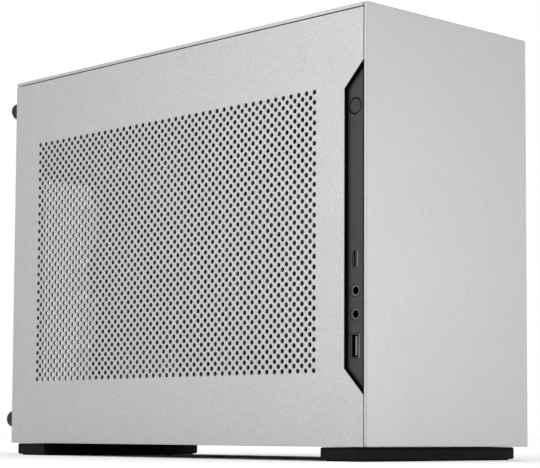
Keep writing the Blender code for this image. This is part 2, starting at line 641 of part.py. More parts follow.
def mains():
    """Inlet with three blades on the rear wall, and the leads from it and from the supply."""
    x, z = INLET_CENTRE
    flange = box((x - 25.0, WALL_Y[1] + GAP, z - 11.5), (x + 25.0, WALL_Y[1] + 2.6, z + 11.5))
    blades_at = [(x + step, z) for step in (-7.0, 0.0, 7.0)]
    solid("ac_inlet", flange, BLACK_PLASTIC, pivot=(x, WALL_Y[1], z), steps=[
        join(box((x - 14.0, 137.0, z - 10.0), (x + 14.0, WALL_Y[1] + 1.0, z + 10.0))),
        cut(box((x - 12.0, 146.0, z - 8.0), (x + 12.0, 166.0, z + 8.0))),
        join(*[box((bx - 1.0, 145.0, bz - 1.5), (bx + 1.0, 160.0, bz + 1.5)) for bx, bz in blades_at]),
    ])
    tube("ac_lead", [
        (-30, 136.2, 208), (-30, 133, 208), (-37, 130.2, 205), (-50, 128, 200),
        (-60, 121, 197.5), (-64, 106, 197), (-64, 40, 197), (-64, -60, 197), (-64, -118, 198),
        (-63.5, -136, 200), (-56, -146, 200.5), (-44, -149, 195), (-34, -149, 180), (-30, -148, 150),
        (-30, -148, 110), (-30, -148, 85), (-30, -145, 68), (-30, -137.5, 61.5), (-30, -125, 61),
    ], 3.0, CABLE)
    tube("atx_power_lead", [
        (-30, -34.4, 112), (-30, -29, 112), (-35, -17, 120), (-38, -8, 134), (-32, -5.8, 142),
        (-20.4, -5.8, 142),
    ], 4.5, CABLE)


# ---- graphics card and riser ---------------------------------------------------------------


def graphics_card():
    """Card board, backplate, hollow shroud, heat sink and two rotors."""
    edge = [(-108, 38), (55, 38), (55, 29.5), (144, 29.5), (144, 38), (157, 38), (157, 150), (-108, 150)]
    solid("gpu_board", prism(edge, "x", *CARD_BOARD_X), CIRCUIT)
    backplate = box((5.6, CARD_Y[0], CARD_Z[0]), (CARD_BOARD_X[0] - GAP, CARD_Y[1], CARD_Z[1]))
    solid("gpu_backplate", backplate, STEEL, bevel=0.5)
    bores = [
        rod((40.0, y, CARD_FAN_Z), (60.0, y, CARD_FAN_Z), CARD_FAN_RADIUS + CARD_FAN_CLEAR, 36)
        for y in CARD_FAN_Y.values()
    ]
    wall = SHROUD_WALL
    inside = (SHROUD_X[1] - wall, CARD_Y[1] - wall, CARD_Z[1] - wall)
    hollow = box((5.0, CARD_Y[0] + wall, CARD_Z[0] + wall), inside)
    shell = box((SHROUD_X[0], CARD_Y[0], CARD_Z[0]), (SHROUD_X[1], CARD_Y[1], CARD_Z[1]))
    solid("gpu_shroud", shell, BLACK_PLASTIC, bevel=1.5, steps=[cut(hollow), cut(*bores)])
    fins = [(12.5 + height, y) for y, height in comb(-105.0, 145.0, 16.0, 21.5, 24)]
    solid("gpu_heatsink", prism(fins, "z", 44.0, 146.0), FIN)
    for place_name, y in CARD_FAN_Y.items():
        centre = (SHROUD_X[1] - 1.4, y, CARD_FAN_Z)
        rotor(f"gpu_fan_rotor_{place_name}", centre, (-1, 0, 0), 17.0, CARD_FAN_RADIUS, 12.5, 11)


def card_brackets():
    mouths = [box((11.0, 157.0, z), (17.0, 160.0, z + 16.0)) for z in (52.0, 74.0, 96.0, 118.0)]
    vents = [box((30.0, 157.0, z), (40.0, 160.0, z + 4.0)) for z in range(50, 136, 9)]
    solid("gpu_bracket", box((3.0, 157.6, 32.0), (44.0, 158.8, 152.0)), ZINC, steps=[cut(*mouths, *vents)])
    solid("slot_cover", box((45.0, 157.6, 32.0), (63.0, 158.8, 152.0)), STEEL)


def riser_cable():
    """Plug on the motherboard's slot, a flat ribbon under the tray, and the card's socket."""
    ribbon = bent_strip([(-24.5, 20.0), (-24.5, 7.0), (9.4, 7.0), (9.4, 22.0)], 1.2)
    plug = box((-30.0, 57.0, 17.0), (-19.6, 142.0, 27.0))
    socket = box((4.4, 52.0, 20.0), (14.4, 147.0, 36.5))
    groove = box((8.2, 54.0, 29.0), (10.6, 145.0, 38.0))
    solid("riser_cable", prism(ribbon, "y", 62.0, 138.0), BLACK_PLASTIC,
          steps=[join(plug, socket), cut(groove)])


def gpu_power():
    """Lead from the supply through the tray's window to the top of the card."""
    tube("gpu_power_lead", [
        (-18, -34.4, 128), (-18, -30, 128), (-11, -23.5, 142), (0.7, -23.5, 153), (10, -26, 161),
        (19, -36, 169), (25, -50, 167), (26.5, -60, 158), (26.5, -60, 150.6),
    ], 3.5, CABLE)


base_plate()
rear_wall()
front_frame()
top_frame()
center_tray()
side_panel("left_side_panel", -1)
side_panel("right_side_panel", 1)
for side_name, side_sign in (("left", -1), ("right", 1)):
    for level_name, level in zip(("lower", "upper"), SCREW_Z):
        thumb_screw(f"thumb_screw_{side_name}_{level_name}", side_sign, level)
top_panel()
front_panel()
for foot_name, foot_span in FOOT_Y.items():
    foot(foot_name, *foot_span)
io_strip()
power_button()
shell_port("usb_c_port", USB_C_Z, USB_C, USB_C_ROUND, 0.4, (0.8, 6.6, 0.0))
shell_port("usb_a_port", USB_A_Z, USB_A, USB_A_ROUND, 0.5, (1.8, 11.0, -1.0))
for jack_name, jack_z in JACK_Z.items():
    audio_jack(jack_name, jack_z)
motherboard()
rear_ports()
board_components()
radiator()
for fan_name, fan_y in FAN_Y.items():
    case_fan(fan_name, fan_y)
hoses()
power_supply()
psu_switch()
mains()
graphics_card()
card_brackets()
riser_cable()
gpu_power()
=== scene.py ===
"""Looks of the desktop tower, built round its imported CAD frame.

Lengths are in millimetres and helpers turn them into metres. The size of a piece mostly comes from
its CAD node's own box. Other places are measured from the body's origin, which is in the middle of
its width and depth, at the height of the front panel's lower edge.
"""

import json
import math
import random

import bmesh
import bpy
from mathutils import Matrix, Vector, geometry


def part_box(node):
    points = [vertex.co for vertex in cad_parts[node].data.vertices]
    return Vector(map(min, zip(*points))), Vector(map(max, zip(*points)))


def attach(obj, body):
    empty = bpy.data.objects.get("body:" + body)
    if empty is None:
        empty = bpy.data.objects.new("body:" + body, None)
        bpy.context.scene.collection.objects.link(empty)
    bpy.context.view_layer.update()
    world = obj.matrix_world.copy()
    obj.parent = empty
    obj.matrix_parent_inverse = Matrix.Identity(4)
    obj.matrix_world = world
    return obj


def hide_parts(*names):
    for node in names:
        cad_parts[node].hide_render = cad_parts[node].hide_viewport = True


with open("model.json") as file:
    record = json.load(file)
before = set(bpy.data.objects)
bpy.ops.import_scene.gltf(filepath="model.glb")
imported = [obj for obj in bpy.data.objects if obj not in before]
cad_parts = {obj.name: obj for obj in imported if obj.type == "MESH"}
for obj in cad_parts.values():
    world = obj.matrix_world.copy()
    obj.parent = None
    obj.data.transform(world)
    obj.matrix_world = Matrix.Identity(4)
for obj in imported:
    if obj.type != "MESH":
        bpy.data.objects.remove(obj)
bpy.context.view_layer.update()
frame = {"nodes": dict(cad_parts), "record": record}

NODES = frame["nodes"]
MM = 0.001
random.seed(7)


# ---- camera, light and floor ----

CAMERA_SPOT_MM = (-758.87, -808.74, 15.38)
CAMERA_YAW, CAMERA_PITCH, CAMERA_ROLL = 43.82, 4.336, -0.286
LENS_MM, SENSOR_MM, LENS_SHIFT = 116.23, 36.0, 0.1237
CLIP_END = 200.0
FLOOR_SIDE, FLOOR_WHITE = 80.0, 0.98
SOFTBOXES = {
    "side_softbox": ((-0.8, 0.3, 0.2), (-0.07, -0.14, 0.1), (0.4, 0.9), 2.9),
    "front_softbox": ((0.35, -1.1, 0.06), (-0.02, -0.16, 0.05), (0.6, 0.6), 5.6),
}


def add_camera():
    data = bpy.data.cameras.new("camera")
    data.sensor_width = SENSOR_MM
    data.lens = LENS_MM
    data.shift_y = LENS_SHIFT
    data.clip_end = CLIP_END
    camera = bpy.data.objects.new("camera", data)
    bpy.context.collection.objects.link(camera)
    yaw, pitch, roll = (math.radians(a) for a in (CAMERA_YAW, CAMERA_PITCH, CAMERA_ROLL))
    turn = Matrix.Rotation(-yaw, 4, "Z") @ Matrix.Rotation(math.pi / 2 + pitch, 4, "X")
    turn = turn @ Matrix.Rotation(-roll, 4, "Z")
    camera.matrix_world = Matrix.Translation(Vector(CAMERA_SPOT_MM) * MM) @ turn
    bpy.context.scene.camera = camera


def add_stage():
    bpy.ops.mesh.primitive_plane_add(size=FLOOR_SIDE, location=(0.0, 0.0, 0.0))
    floor = bpy.context.object
    floor.name = "floor"
    paint = bpy.data.materials.new("floor_white")
    paint.use_nodes = True
    shader = paint.node_tree.nodes["Principled BSDF"]
    shader.inputs["Base Color"].default_value = (FLOOR_WHITE, FLOOR_WHITE, FLOOR_WHITE, 1.0)
    shader.inputs["Roughness"].default_value = 0.9
    shader.inputs["Specular IOR Level"].default_value = 0.0
    floor.data.materials.append(paint)

    add_world()
    bpy.context.scene.view_settings.view_transform = "Standard"


def add_world():
    """A plain white studio all round."""
    world = bpy.data.worlds.new("studio")
    world.use_nodes = True
    background = world.node_tree.nodes["Background"]
    background.inputs["Color"].default_value = (1.0, 1.0, 1.0, 1.0)
    background.inputs["Strength"].default_value = 1.0
    bpy.context.scene.world = world


def add_light(name, spot, aim, size, watts):
    data = bpy.data.lights.new(name, "AREA")
    data.shape = "RECTANGLE"
    data.size, data.size_y = size
    data.energy = watts
    light = bpy.data.objects.new(name, data)
    bpy.context.collection.objects.link(light)
    light.location = spot
    line = Vector(aim) - Vector(spot)
    light.rotation_euler = line.to_track_quat("-Z", "Y").to_euler()
    light.visible_camera = False


add_camera()
add_stage()
for softbox, (spot, aim, size, watts) in SOFTBOXES.items():
    add_light(softbox, spot, aim, size, watts)


# ---- materials ----


class Paint:
    """A material under construction: its nodes read the piece's own coordinates in metres."""

    def __init__(self, name, color, roughness, metallic=0.0, **sockets):
        self.material = bpy.data.materials.new(name)
        self.material.use_nodes = True
        self.nodes = self.material.node_tree.nodes
        self.links = self.material.node_tree.links
        self.shader = self.nodes["Principled BSDF"]
        self.shader.inputs["Base Color"].default_value = (*color, 1.0)
        self.shader.inputs["Roughness"].default_value = roughness
        self.shader.inputs["Metallic"].default_value = metallic
        for name, value in sockets.items():
            self.shader.inputs[name.replace("_", " ")].default_value = value
        self.place = self.nodes.new("ShaderNodeTexCoord").outputs["Object"]
        self.height = None

    def noise(self, size_mm, detail=2.0, rough=0.5):
        """Noise from 0 to 1 whose spots are about size_mm wide."""
        made = self.nodes.new("ShaderNodeTexNoise")
        made.inputs["Scale"].default_value = 1.0 / (size_mm * MM)
        made.inputs["Detail"].default_value = detail
        made.inputs["Roughness"].default_value = rough
        self.links.new(self.place, made.inputs["Vector"])
        return made.outputs["Fac"]

    def waves(self, pitch_mm, axis, distortion=0.0):
        """Ridges across one axis, a pitch apart."""
        made = self.nodes.new("ShaderNodeTexWave")
        made.wave_type = "BANDS"
        made.bands_direction = axis
        made.inputs["Scale"].default_value = math.pi / (10.0 * pitch_mm * MM)
        made.inputs["Distortion"].default_value = distortion
        self.links.new(self.place, made.inputs["Vector"])
        return made.outputs["Fac"]

    def ramp(self, value, low, high, out_low, out_high):
        made = self.nodes.new("ShaderNodeMapRange")
        limits = {"From Min": low, "From Max": high, "To Min": out_low, "To Max": out_high}
        for name, number in limits.items():
            made.inputs[name].default_value = number
        self.links.new(value, made.inputs["Value"])
        return made.outputs["Result"]

    def blend(self, factor, color_a, color_b):
        made = self.nodes.new("ShaderNodeMix")
        made.data_type = "RGBA"
        made.inputs["A"].default_value = (*color_a, 1.0)
        made.inputs["B"].default_value = (*color_b, 1.0)
        self.links.new(factor, made.inputs["Factor"])
        return made.outputs["Result"]

    def color(self, output):
        self.links.new(output, self.shader.inputs["Base Color"])

    def rough(self, output):
        self.links.new(output, self.shader.inputs["Roughness"])

    def bump(self, output, depth_mm, strength=1.0):
        made = self.nodes.new("ShaderNodeBump")
        made.inputs["Strength"].default_value = strength
        made.inputs["Distance"].default_value = depth_mm * MM
        self.links.new(output, made.inputs["Height"])
        if self.height:
            self.links.new(self.height, made.inputs["Normal"])
        self.height = made.outputs["Normal"]
        self.links.new(self.height, self.shader.inputs["Normal"])


def anodised():
    """Bead-blasted, clear anodised aluminium: a sparkle of fine grains and a faint cloudiness."""
    paint = Paint("anodised_silver", (0.46, 0.46, 0.464), 0.5, 0.85)
    grain = paint.noise(0.8, 2.0, 0.6)
    dark, light = (0.352, 0.352, 0.355), (0.435, 0.435, 0.44)
    paint.color(paint.blend(paint.ramp(grain, 0.32, 0.68, 0.0, 1.0), dark, light))
    paint.rough(paint.ramp(paint.noise(40.0, 2.0), 0.3, 0.7, 0.49, 0.52))
    paint.bump(grain, 0.008, 0.35)
    return paint.material


def powder_coat(name, color, roughness, **sockets):
    """Black fine-texture powder coat: small soft lumps, a little shinier on their tops."""
    paint = Paint(name, color, roughness, **sockets)
    lumps = paint.noise(0.5, 2.0, 0.6)
    dark = tuple(0.75 * c for c in color)
    light = tuple(1.3 * c for c in color)
    paint.color(paint.blend(paint.noise(25.0), dark, light))
    paint.rough(paint.ramp(lumps, 0.3, 0.7, roughness + 0.1, roughness - 0.08))
    paint.bump(lumps, 0.03, 0.6)
    return paint.material


def plain(name, color, roughness, metallic=0.0, grain_mm=0.6, depth_mm=0.02, shift=0.25, **sockets):
    """Moulded, painted or plated surface: slow colour drift, fine grain in gloss and height."""
    paint = Paint(name, color, roughness, metallic, **sockets)
    grain = paint.noise(grain_mm, 2.0, 0.6)
    drift = paint.noise(18.0)
    dark = tuple((1 - shift) * c for c in color)
    light = tuple(min(1.0, (1 + shift) * c) for c in color)
    paint.color(paint.blend(drift, dark, light))
    paint.rough(paint.ramp(grain, 0.3, 0.7, max(0.05, roughness - 0.07), roughness + 0.09))
    paint.bump(grain, depth_mm, 0.6)
    return paint.material


def woven(name, color, pitch_mm):
    """Braided sleeve: two crossing sets of ridges, with painted shade between the diagonal ridges and a
    painted highlight on their tops.
    """
    paint = Paint(name, color, 0.55, Sheen_Weight=0.3)
    over = paint.waves(pitch_mm, "DIAGONAL", 0.6)
    under = paint.waves(pitch_mm * 0.8, "Z", 0.4)
    # Painted shade and highlight: the diagonal ridges run from dark in their hollows to light on their
    # tops.
    paint.color(paint.blend(over, tuple(0.6 * c for c in color), tuple(1.9 * c for c in color)))
    paint.rough(paint.ramp(under, 0.0, 1.0, 0.5, 0.68))
    paint.bump(under, 0.15, 0.6)
    paint.bump(over, 0.2, 0.7)
    return paint.material


MATERIALS = {
    "anodised_aluminium": anodised(),
    "black_steel": powder_coat("black_powder_coat", (0.045, 0.045, 0.047), 0.5),
    "black_rubber": plain(
        "black_rubber", (0.004, 0.004, 0.0041), 0.7, grain_mm=0.8, Specular_IOR_Level=0.12
    ),
    "black_knurled_metal": plain("black_zinc", (0.012, 0.012, 0.013), 0.36, 0.5, grain_mm=0.4),
    "black_plastic": plain("black_plastic", (0.018, 0.018, 0.019), 0.42, grain_mm=0.5),
    "black_painted_radiator": plain("radiator_paint", (0.02, 0.02, 0.021), 0.38, grain_mm=1.2),
    "memory_heat_spreader": plain("dark_anodised", (0.07, 0.07, 0.075), 0.36, 0.9, grain_mm=0.4),
    "plated_steel": plain(
        "nickel_plate", (0.6, 0.6, 0.61), 0.34, 1.0, grain_mm=1.5, depth_mm=0.0006, shift=0.06
    ),
    "fin_aluminium": plain("fin_aluminium", (0.55, 0.56, 0.57), 0.3, 1.0, grain_mm=0.9, shift=0.08),
    "circuit_board": plain("solder_mask", (0.012, 0.017, 0.016), 0.3, grain_mm=0.8, Coat_Weight=0.3),
    "zinc_steel": plain("zinc_plate", (0.5, 0.51, 0.52), 0.34, 1.0, grain_mm=2.5, shift=0.15),
    "black_strip": powder_coat("black_strip_coat", (0.03, 0.03, 0.031), 0.55, Specular_IOR_Level=0.3),
    "dull_steel": plain("dull_steel", (0.32, 0.32, 0.33), 0.35, 1.0, grain_mm=0.5, shift=0.1),
    "gold_contact": plain("gold_contact", (0.75, 0.55, 0.22), 0.28, 1.0, grain_mm=0.4, shift=0.06),
    "jack_grey": plain("jack_plastic", (0.09, 0.09, 0.092), 0.35, grain_mm=0.4),
    # Near-black painted shade, laid on gaps, wells and the insides of sockets where there is only shade.
    "painted_shade_black": plain(
        "painted_shade_matt", (0.0015, 0.0015, 0.0015), 0.8, grain_mm=0.4, depth_mm=0.01, Specular_IOR_Level=0.05
    ),
    "tongue_grey": plain("tongue_grey", (0.16, 0.16, 0.165), 0.45, grain_mm=0.4),
    "ferrite": plain("ferrite_grey", (0.14, 0.14, 0.145), 0.5, grain_mm=0.5),
    "chip_black": plain("chip_epoxy", (0.02, 0.02, 0.021), 0.5, grain_mm=0.3),
    "ceramic_tan": plain("ceramic_parts", (0.28, 0.22, 0.15), 0.45, grain_mm=0.5),
    "fan_blade": plain("fan_blade", (0.03, 0.03, 0.032), 0.38, grain_mm=0.5),
    "satin_grey": plain("satin_grey", (0.12, 0.12, 0.125), 0.4, 0.6, grain_mm=0.5),
    "hose_sleeve": woven("hose_braid", (0.02, 0.02, 0.021), 1.6),
    "cable_sheath": woven("cable_braid", (0.016, 0.016, 0.017), 1.2),
}


# ---- frame of the body and of its parts ----

RECORD = frame["record"]
BODY = {name: body for body, members in RECORD["behaviour"]["bodies"].items() for name in members}
SLOT = {item["node"]: item["material_slot"] for item in RECORD["subparts"]}
HALF_X, FRONT_Y, REAR_Y = 70.0, -163.0, 163.0
SEAM = 0.3
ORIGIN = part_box("front_panel")[0] / MM - Vector((-HALF_X, FRONT_Y, 0.0))


def box_mm(node):
    """A CAD node's lowest and highest corner, in millimetres from the body's own origin."""
    low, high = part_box(node)
    return low / MM - ORIGIN, high / MM - ORIGIN


# ---- shapes ----


def circle(centre, radius, sides, phase=0):
    turns = [2 * math.pi * (k + phase) / sides for k in range(sides)]
    return [(centre[0] + radius * math.cos(t), centre[1] + radius * math.sin(t)) for t in turns]


def rectangle(low, high):
    return [(low[0], low[1]), (high[0], low[1]), (high[0], high[1]), (low[0], high[1])]


def fillet(outline, radius, steps=4):
    """The outline with each corner rounded. A corner may give a radius of its own as a third number."""
    rounded = []
    count = len(outline)
    for k, point in enumerate(outline):
        here = Vector(point[:2])
        reach = point[2] if len(point) > 2 else radius
        to_last = (Vector(outline[k - 1][:2]) - here).normalized()
        to_next = (Vector(outline[(k + 1) % count][:2]) - here).normalized()
        half = to_last.angle(to_next) / 2
        if reach <= 0 or half > math.radians(89):
            rounded.append(tuple(here))
            continue
        along = reach / math.tan(half)
        middle = here + (to_last + to_next).normalized() * (reach / math.sin(half))
        first, last = here + to_last * along - middle, here + to_next * along - middle
        sweep = first.angle_signed(last)
        for step in range(steps + 1):
            turn = Matrix.Rotation(-sweep * step / steps, 2)
            rounded.append(tuple(middle + turn @ first))
    return rounded


def inset(outline, margin):
    """The outline moved inward by a margin. It runs anticlockwise."""
    moved = []
    count = len(outline)
    for k, point in enumerate(outline):
        here = Vector(point)
        before = (here - Vector(outline[k - 1])).normalized()
        after = (Vector(outline[(k + 1) % count]) - here).normalized()
        left = Vector((-after.y, after.x))
        bisector = (Vector((-before.y, before.x)) + left).normalized()
        moved.append(tuple(here + bisector * (margin / max(0.2, bisector.dot(left)))))
    return moved


def edge_round(radius, steps=3):
    """Insets and depths of a rounded edge, from the face to the side."""
    angles = [math.pi / 2 * k / steps for k in range(steps + 1)]
    return [(radius * (1 - math.sin(a)), radius * (1 - math.cos(a))) for a in angles]


def smooth_route(points, spacing):
    """Points about a spacing apart on a Catmull-Rom curve through the route's own points."""
    knots = [Vector(p) for p in points]
    knots = [2 * knots[0] - knots[1], *knots, 2 * knots[-1] - knots[-2]]
    route = []
    for a, b, c, d in zip(knots, knots[1:], knots[2:], knots[3:]):
        pieces = max(1, round((c - b).length / spacing))
        for k in range(pieces):
            t = k / pieces
            route.append(0.5 * (
                2 * b + (c - a) * t + (2 * a - 5 * b + 4 * c - d) * t**2
                + (3 * b - a - 3 * c + d) * t**3
            ))
    return [*route, knots[-2]]


def facing(centre, axis):
    """Matrix that stands a shape made round +Z on a centre, along an axis."""
    return Matrix.Translation(Vector(centre)) @ Vector(axis).to_track_quat("Z", "Y").to_matrix().to_4x4()


PLACES = {
    "x": lambda u, v, w: (w, u, v),
    "y": lambda u, v, w: (u, w, v),
    "z": lambda u, v, w: (u, v, w),
}


SHARP_EDGE = 0.6


class Shape:
    """A mesh under construction, in millimetres from the body's origin."""

    def __init__(self):
        self.bm = bmesh.new()

    def soften(self, verts, width):
        """Round the sharp edges of newly drawn verts."""
        if not width:
            return
        edges = {
            e for v in verts for e in v.link_edges
            if e.is_manifold and e.calc_face_angle() > SHARP_EDGE
        }
        bmesh.ops.bevel(
            self.bm, geom=list(edges), offset=width, segments=2, profile=0.5,
            affect="EDGES", clamp_overlap=True,
        )

    def box(self, low, high, bevel=0.3):
        low_v, high_v = Vector(low), Vector(high)
        spot = Matrix.Translation((low_v + high_v) / 2) @ Matrix.Diagonal((*(high_v - low_v), 1))
        made = bmesh.ops.create_cube(self.bm, size=1, matrix=spot)
        self.soften(made["verts"], bevel)
        return self

    def rod(self, start, end, radius, sides=24, bevel=0.3):
        start_v, end_v = Vector(start), Vector(end)
        made = bmesh.ops.create_cone(
            self.bm, cap_ends=True, segments=sides, radius1=radius, radius2=radius,
            depth=(end_v - start_v).length,
            matrix=facing((start_v + end_v) / 2, end_v - start_v),
        )
        self.soften(made["verts"], bevel)
        return self

    def prism(self, outline, axis, low, high, bevel=0.3):
        spot = PLACES[axis]
        lower = self.bm.faces.new([self.bm.verts.new(spot(u, v, low)) for u, v in outline])
        pushed = bmesh.ops.extrude_face_region(self.bm, geom=[lower])["geom"]
        verts = [item for item in pushed if isinstance(item, bmesh.types.BMVert)]
        bmesh.ops.translate(self.bm, verts=verts, vec=Vector(spot(0, 0, high - low)))
        self.soften([*verts, *lower.verts], bevel)
        return self

    def rings(self, rings, close_ends=True, loop=False):
        """Skin over a list of rings with the same number of points."""
        made = [[self.bm.verts.new(p) for p in ring] for ring in rings]
        pairs = list(zip(made, made[1:])) + ([(made[-1], made[0])] if loop else [])
        for one, two in pairs:
            for k in range(len(one)):
                after = (k + 1) % len(one)
                self.bm.faces.new((one[k], one[after], two[after], two[k]))
        if close_ends and not loop:
            self.bm.faces.new(made[0])
            self.bm.faces.new(made[-1])
        return self

    def turned(self, profile, centre, axis, sides=32, lobes=None):
        """A profile of (radius, distance) turned round an axis. Lobes are (count, depth) of a knurl; the
        count is not used, as every other side is sunk by the depth.
        """
        spot = facing(centre, axis)
        rings = []
        for radius, along, *knurl in profile:
            ring = []
            for k in range(sides):
                angle = 2 * math.pi * k / sides
                reach = radius - (lobes[1] * (k % 2) if lobes and knurl else 0)
                ring.append(spot @ Vector((reach * math.cos(angle), reach * math.sin(angle), along)))
            rings.append(ring)
        return self.rings(rings)

    def hoop(self, centre, axis, radius, wire, sides=48, wire_sides=8):
        """A ring of round wire."""
        spot = facing(centre, axis)
        rings = []
        for k in range(sides):
            angle = 2 * math.pi * k / sides
            out = Vector((math.cos(angle), math.sin(angle), 0))
            rings.append([
                spot @ (out * (radius + wire * math.cos(t)) + Vector((0, 0, wire * math.sin(t))))
                for t in [2 * math.pi * j / wire_sides for j in range(wire_sides)]
            ])
        return self.rings(rings, loop=True)

    def pipe(self, points, radius, sides=12):
        """A tube along points, with flat ends."""
        rings = []
        side = None
        for k, here in enumerate(points):
            before, after = Vector(points[max(0, k - 1)]), Vector(points[min(len(points) - 1, k + 1)])
            run = (after - before).normalized()
            side = (side or run.orthogonal()) - run * (side or run.orthogonal()).dot(run)
            side.normalize()
            other = run.cross(side)
            rings.append([
                Vector(here) + (side * math.cos(t) + other * math.sin(t)) * radius
                for t in [2 * math.pi * j / sides for j in range(sides)]
            ])
        return self.rings(rings)

    def band(self, outline, thickness, axis, low, high):
        """An upright wall that follows an outline, open at both ends."""
        spot = PLACES[axis]
        inner = inset(outline, thickness)
        rings = [
            [spot(u, v, w) for u, v in line]
            for line, w in ((outline, low), (outline, high), (inner, high), (inner, low))
        ]
        return self.rings(rings, loop=True)

    def sheet(self, outline, holes, thickness, place, rounding=0.3):
        """A flat sheet in (u, v) with holes right through it and round outer edges.

        place turns (u, v, w) into a point. w runs from the outer face, 0, to the inner one.
        """
        profile = edge_round(rounding)
        rim = inset(outline, profile[0][0])
        points, loops = [], []
        for loop in (rim, *holes):
            loops.append(list(range(len(points), len(points) + len(loop))))
            points += [Vector(p) for p in loop]
        flat = geometry.delaunay_2d_cdt(points, [], loops, 1, 1e-5)
        corners = flat[0]
        kept = [tuple(face) for face, owner in zip(flat[2], flat[5]) if list(owner) == [0]]
        count = len(corners)
        verts = [(p.x, p.y, 0) for p in corners] + [(p.x, p.y, -thickness) for p in corners]
        faces = kept + [tuple(count + v for v in reversed(face)) for face in kept]
        edges = {(a, b) for face in kept for a, b in zip(face, face[1:] + face[:1])}
        border = [(a, b) for a, b in sorted(edges) if (b, a) not in edges]
        rim_index = {(round(p[0], 3), round(p[1], 3)): k for k, p in enumerate(rim)}
        ring = {
            v: rim_index.get((round(corners[v].x, 3), round(corners[v].y, 3)))
            for edge in border for v in edge
        }
        starts = []
        levels = [(i, -d) for i, d in profile[1:]] + [(i, d - thickness) for i, d in profile[:0:-1]]
        for margin, depth in levels:
            starts.append(len(verts))
            verts += [(u, v, depth) for u, v in inset(outline, margin)]
        for a, b in border:
            if ring[a] is None or ring[b] is None:
                faces.append((a, a + count, b + count, b))
                continue
            ladder = [(a, b)] + [(s + ring[a], s + ring[b]) for s in starts] + [(a + count, b + count)]
            faces += [(a0, a1, b1, b0) for (a0, b0), (a1, b1) in zip(ladder, ladder[1:])]
        made = [self.bm.verts.new(place(*v)) for v in verts]
        for face in faces:
            self.bm.faces.new([made[v] for v in face])
        loose = [v for v in made if not v.link_faces]
        bmesh.ops.delete(self.bm, geom=loose, context="VERTS")
        return self

    def make(self, name, body, slot, paint=None, hides=(), smooth=35):
        """Turn the shape into a piece that rides on a body. The paint is the slot's unless one is named."""
        bmesh.ops.recalc_face_normals(self.bm, faces=self.bm.faces)
        bmesh.ops.translate(self.bm, verts=self.bm.verts, vec=ORIGIN)
        bmesh.ops.scale(self.bm, verts=self.bm.verts, vec=(MM, MM, MM))
        mesh = bpy.data.meshes.new(name)
        self.bm.to_mesh(mesh)
        self.bm.free()
        mesh.shade_smooth()
        mesh.set_sharp_from_angle(angle=math.radians(smooth))
        mesh.materials.append(MATERIALS[paint or slot])
        made = bpy.data.objects.new(name, mesh)
        bpy.context.collection.objects.link(made)
        shading = made.modifiers.new("even shading", "WEIGHTED_NORMAL")
        shading.keep_sharp = True
        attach(made, body)
        if hides:
            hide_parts(*hides)
        return made


def finish_nodes():
    """Every CAD node that stays visible takes the material made for its slot."""
    for name, node in NODES.items():
        for slot in node.material_slots:
            slot.material = MATERIALS[SLOT[name]]


# ---- outer panels ----

HOLE_RADIUS = 1.46
HALF_PITCH = (3.143, 2.9)
SIDE_SHEET, TOP_SHEET, FRONT_SHEET = 1.5, 2, 2.3
SCREW_X, SCREW_Z = 64.5, (16, 226)
NOTCH_IN, NOTCH_Z = -146, (42.7, 197.6)
FIELD_START, FIELD_COUNT = (-122.7, 42.1), (83, 55)
FLANGE_LOW, FLANGE_HIGH = (57, 4), (HALF_X - SIDE_SHEET + 0.05, 238)
PEG_RADIUS, PEG_SINK = 2.6, 0.5


def perforation(start, columns, rows, sides):
    """A staggered field of round holes: every other place of a fine grid."""
    return [
        circle((start[0] + HALF_PITCH[0] * i, start[1] + HALF_PITCH[1] * j), HOLE_RADIUS, sides, 0.5)
        for j in range(rows) for i in range(columns) if (i + j) % 2 == 0
    ]


def side_panel(side):
    """Perforated sheet with a rear flange for its two screws. The left one is notched."""
    node = "left_side_panel" if side < 0 else "right_side_panel"
    low, high = box_mm(node)
    front, rear, bottom, top = low.y, high.y, low.z, high.z
    outline = [(front, bottom, 0.8), (rear, bottom, 0.8), (rear, top, 0.8), (front, top, 0.8)]
    if side < 0:
        depth = NOTCH_IN - front
        outline += [
            (front, NOTCH_Z[1] + depth, 0.3), (NOTCH_IN, NOTCH_Z[1], 0.5),
            (NOTCH_IN, NOTCH_Z[0], 0.5), (front, NOTCH_Z[0] - depth, 0.3),
        ]
    holes = perforation(FIELD_START, *FIELD_COUNT, 16 if side < 0 else 12)
    shape = Shape()
    shape.sheet(fillet(outline, 0), holes, SIDE_SHEET, lambda u, v, w: (side * (HALF_X + w), u, v))
    flange = fillet(rectangle(FLANGE_LOW, FLANGE_HIGH), 1.5)
    screws = [circle((SCREW_X, z), 2.1, 20) for z in SCREW_Z]
    shape.sheet(flange, screws, SIDE_SHEET, lambda u, v, w: (side * u, REAR_Y + w, v))
    shape.make(f"{node}_sheet", BODY[node], "anodised_aluminium", hides=[node])


def front_plate():
    low, high = box_mm("front_panel")
    outline = fillet(rectangle((low.x, low.z), (high.x, high.z)), 1.2)
    shape = Shape().sheet(outline, [], FRONT_SHEET, lambda u, v, w: (u, low.y - w, v), 0.45)
    for x in (-58, 58):
        for z in (20, 224):
            shape.rod((x, low.y + FRONT_SHEET - PEG_SINK, z), (x, high.y, z), PEG_RADIUS)
    shape.make("front_plate", BODY["front_panel"], "anodised_aluminium", hides=["front_panel"])


def top_plate():
    low, high = box_mm("top_panel")
    outline = fillet(rectangle((low.x, low.y), (high.x, high.y)), 0.8)
    columns, rows = 37, 89
    start = (2 - HALF_PITCH[0] * (rows // 2), -HALF_PITCH[1] * (columns // 2))
    holes = [[(v, u) for u, v in hole[::-1]] for hole in perforation(start, rows, columns, 12)]
    shape = Shape().sheet(outline, holes, TOP_SHEET, lambda u, v, w: (u, v, high.z + w))
    for x in (-55, 55):
        for y in (-140, 140):
            shape.rod((x, y, low.z), (x, y, high.z - TOP_SHEET + PEG_SINK), PEG_RADIUS)
    shape.make("top_plate", BODY["top_panel"], "anodised_aluminium", hides=["top_panel"])


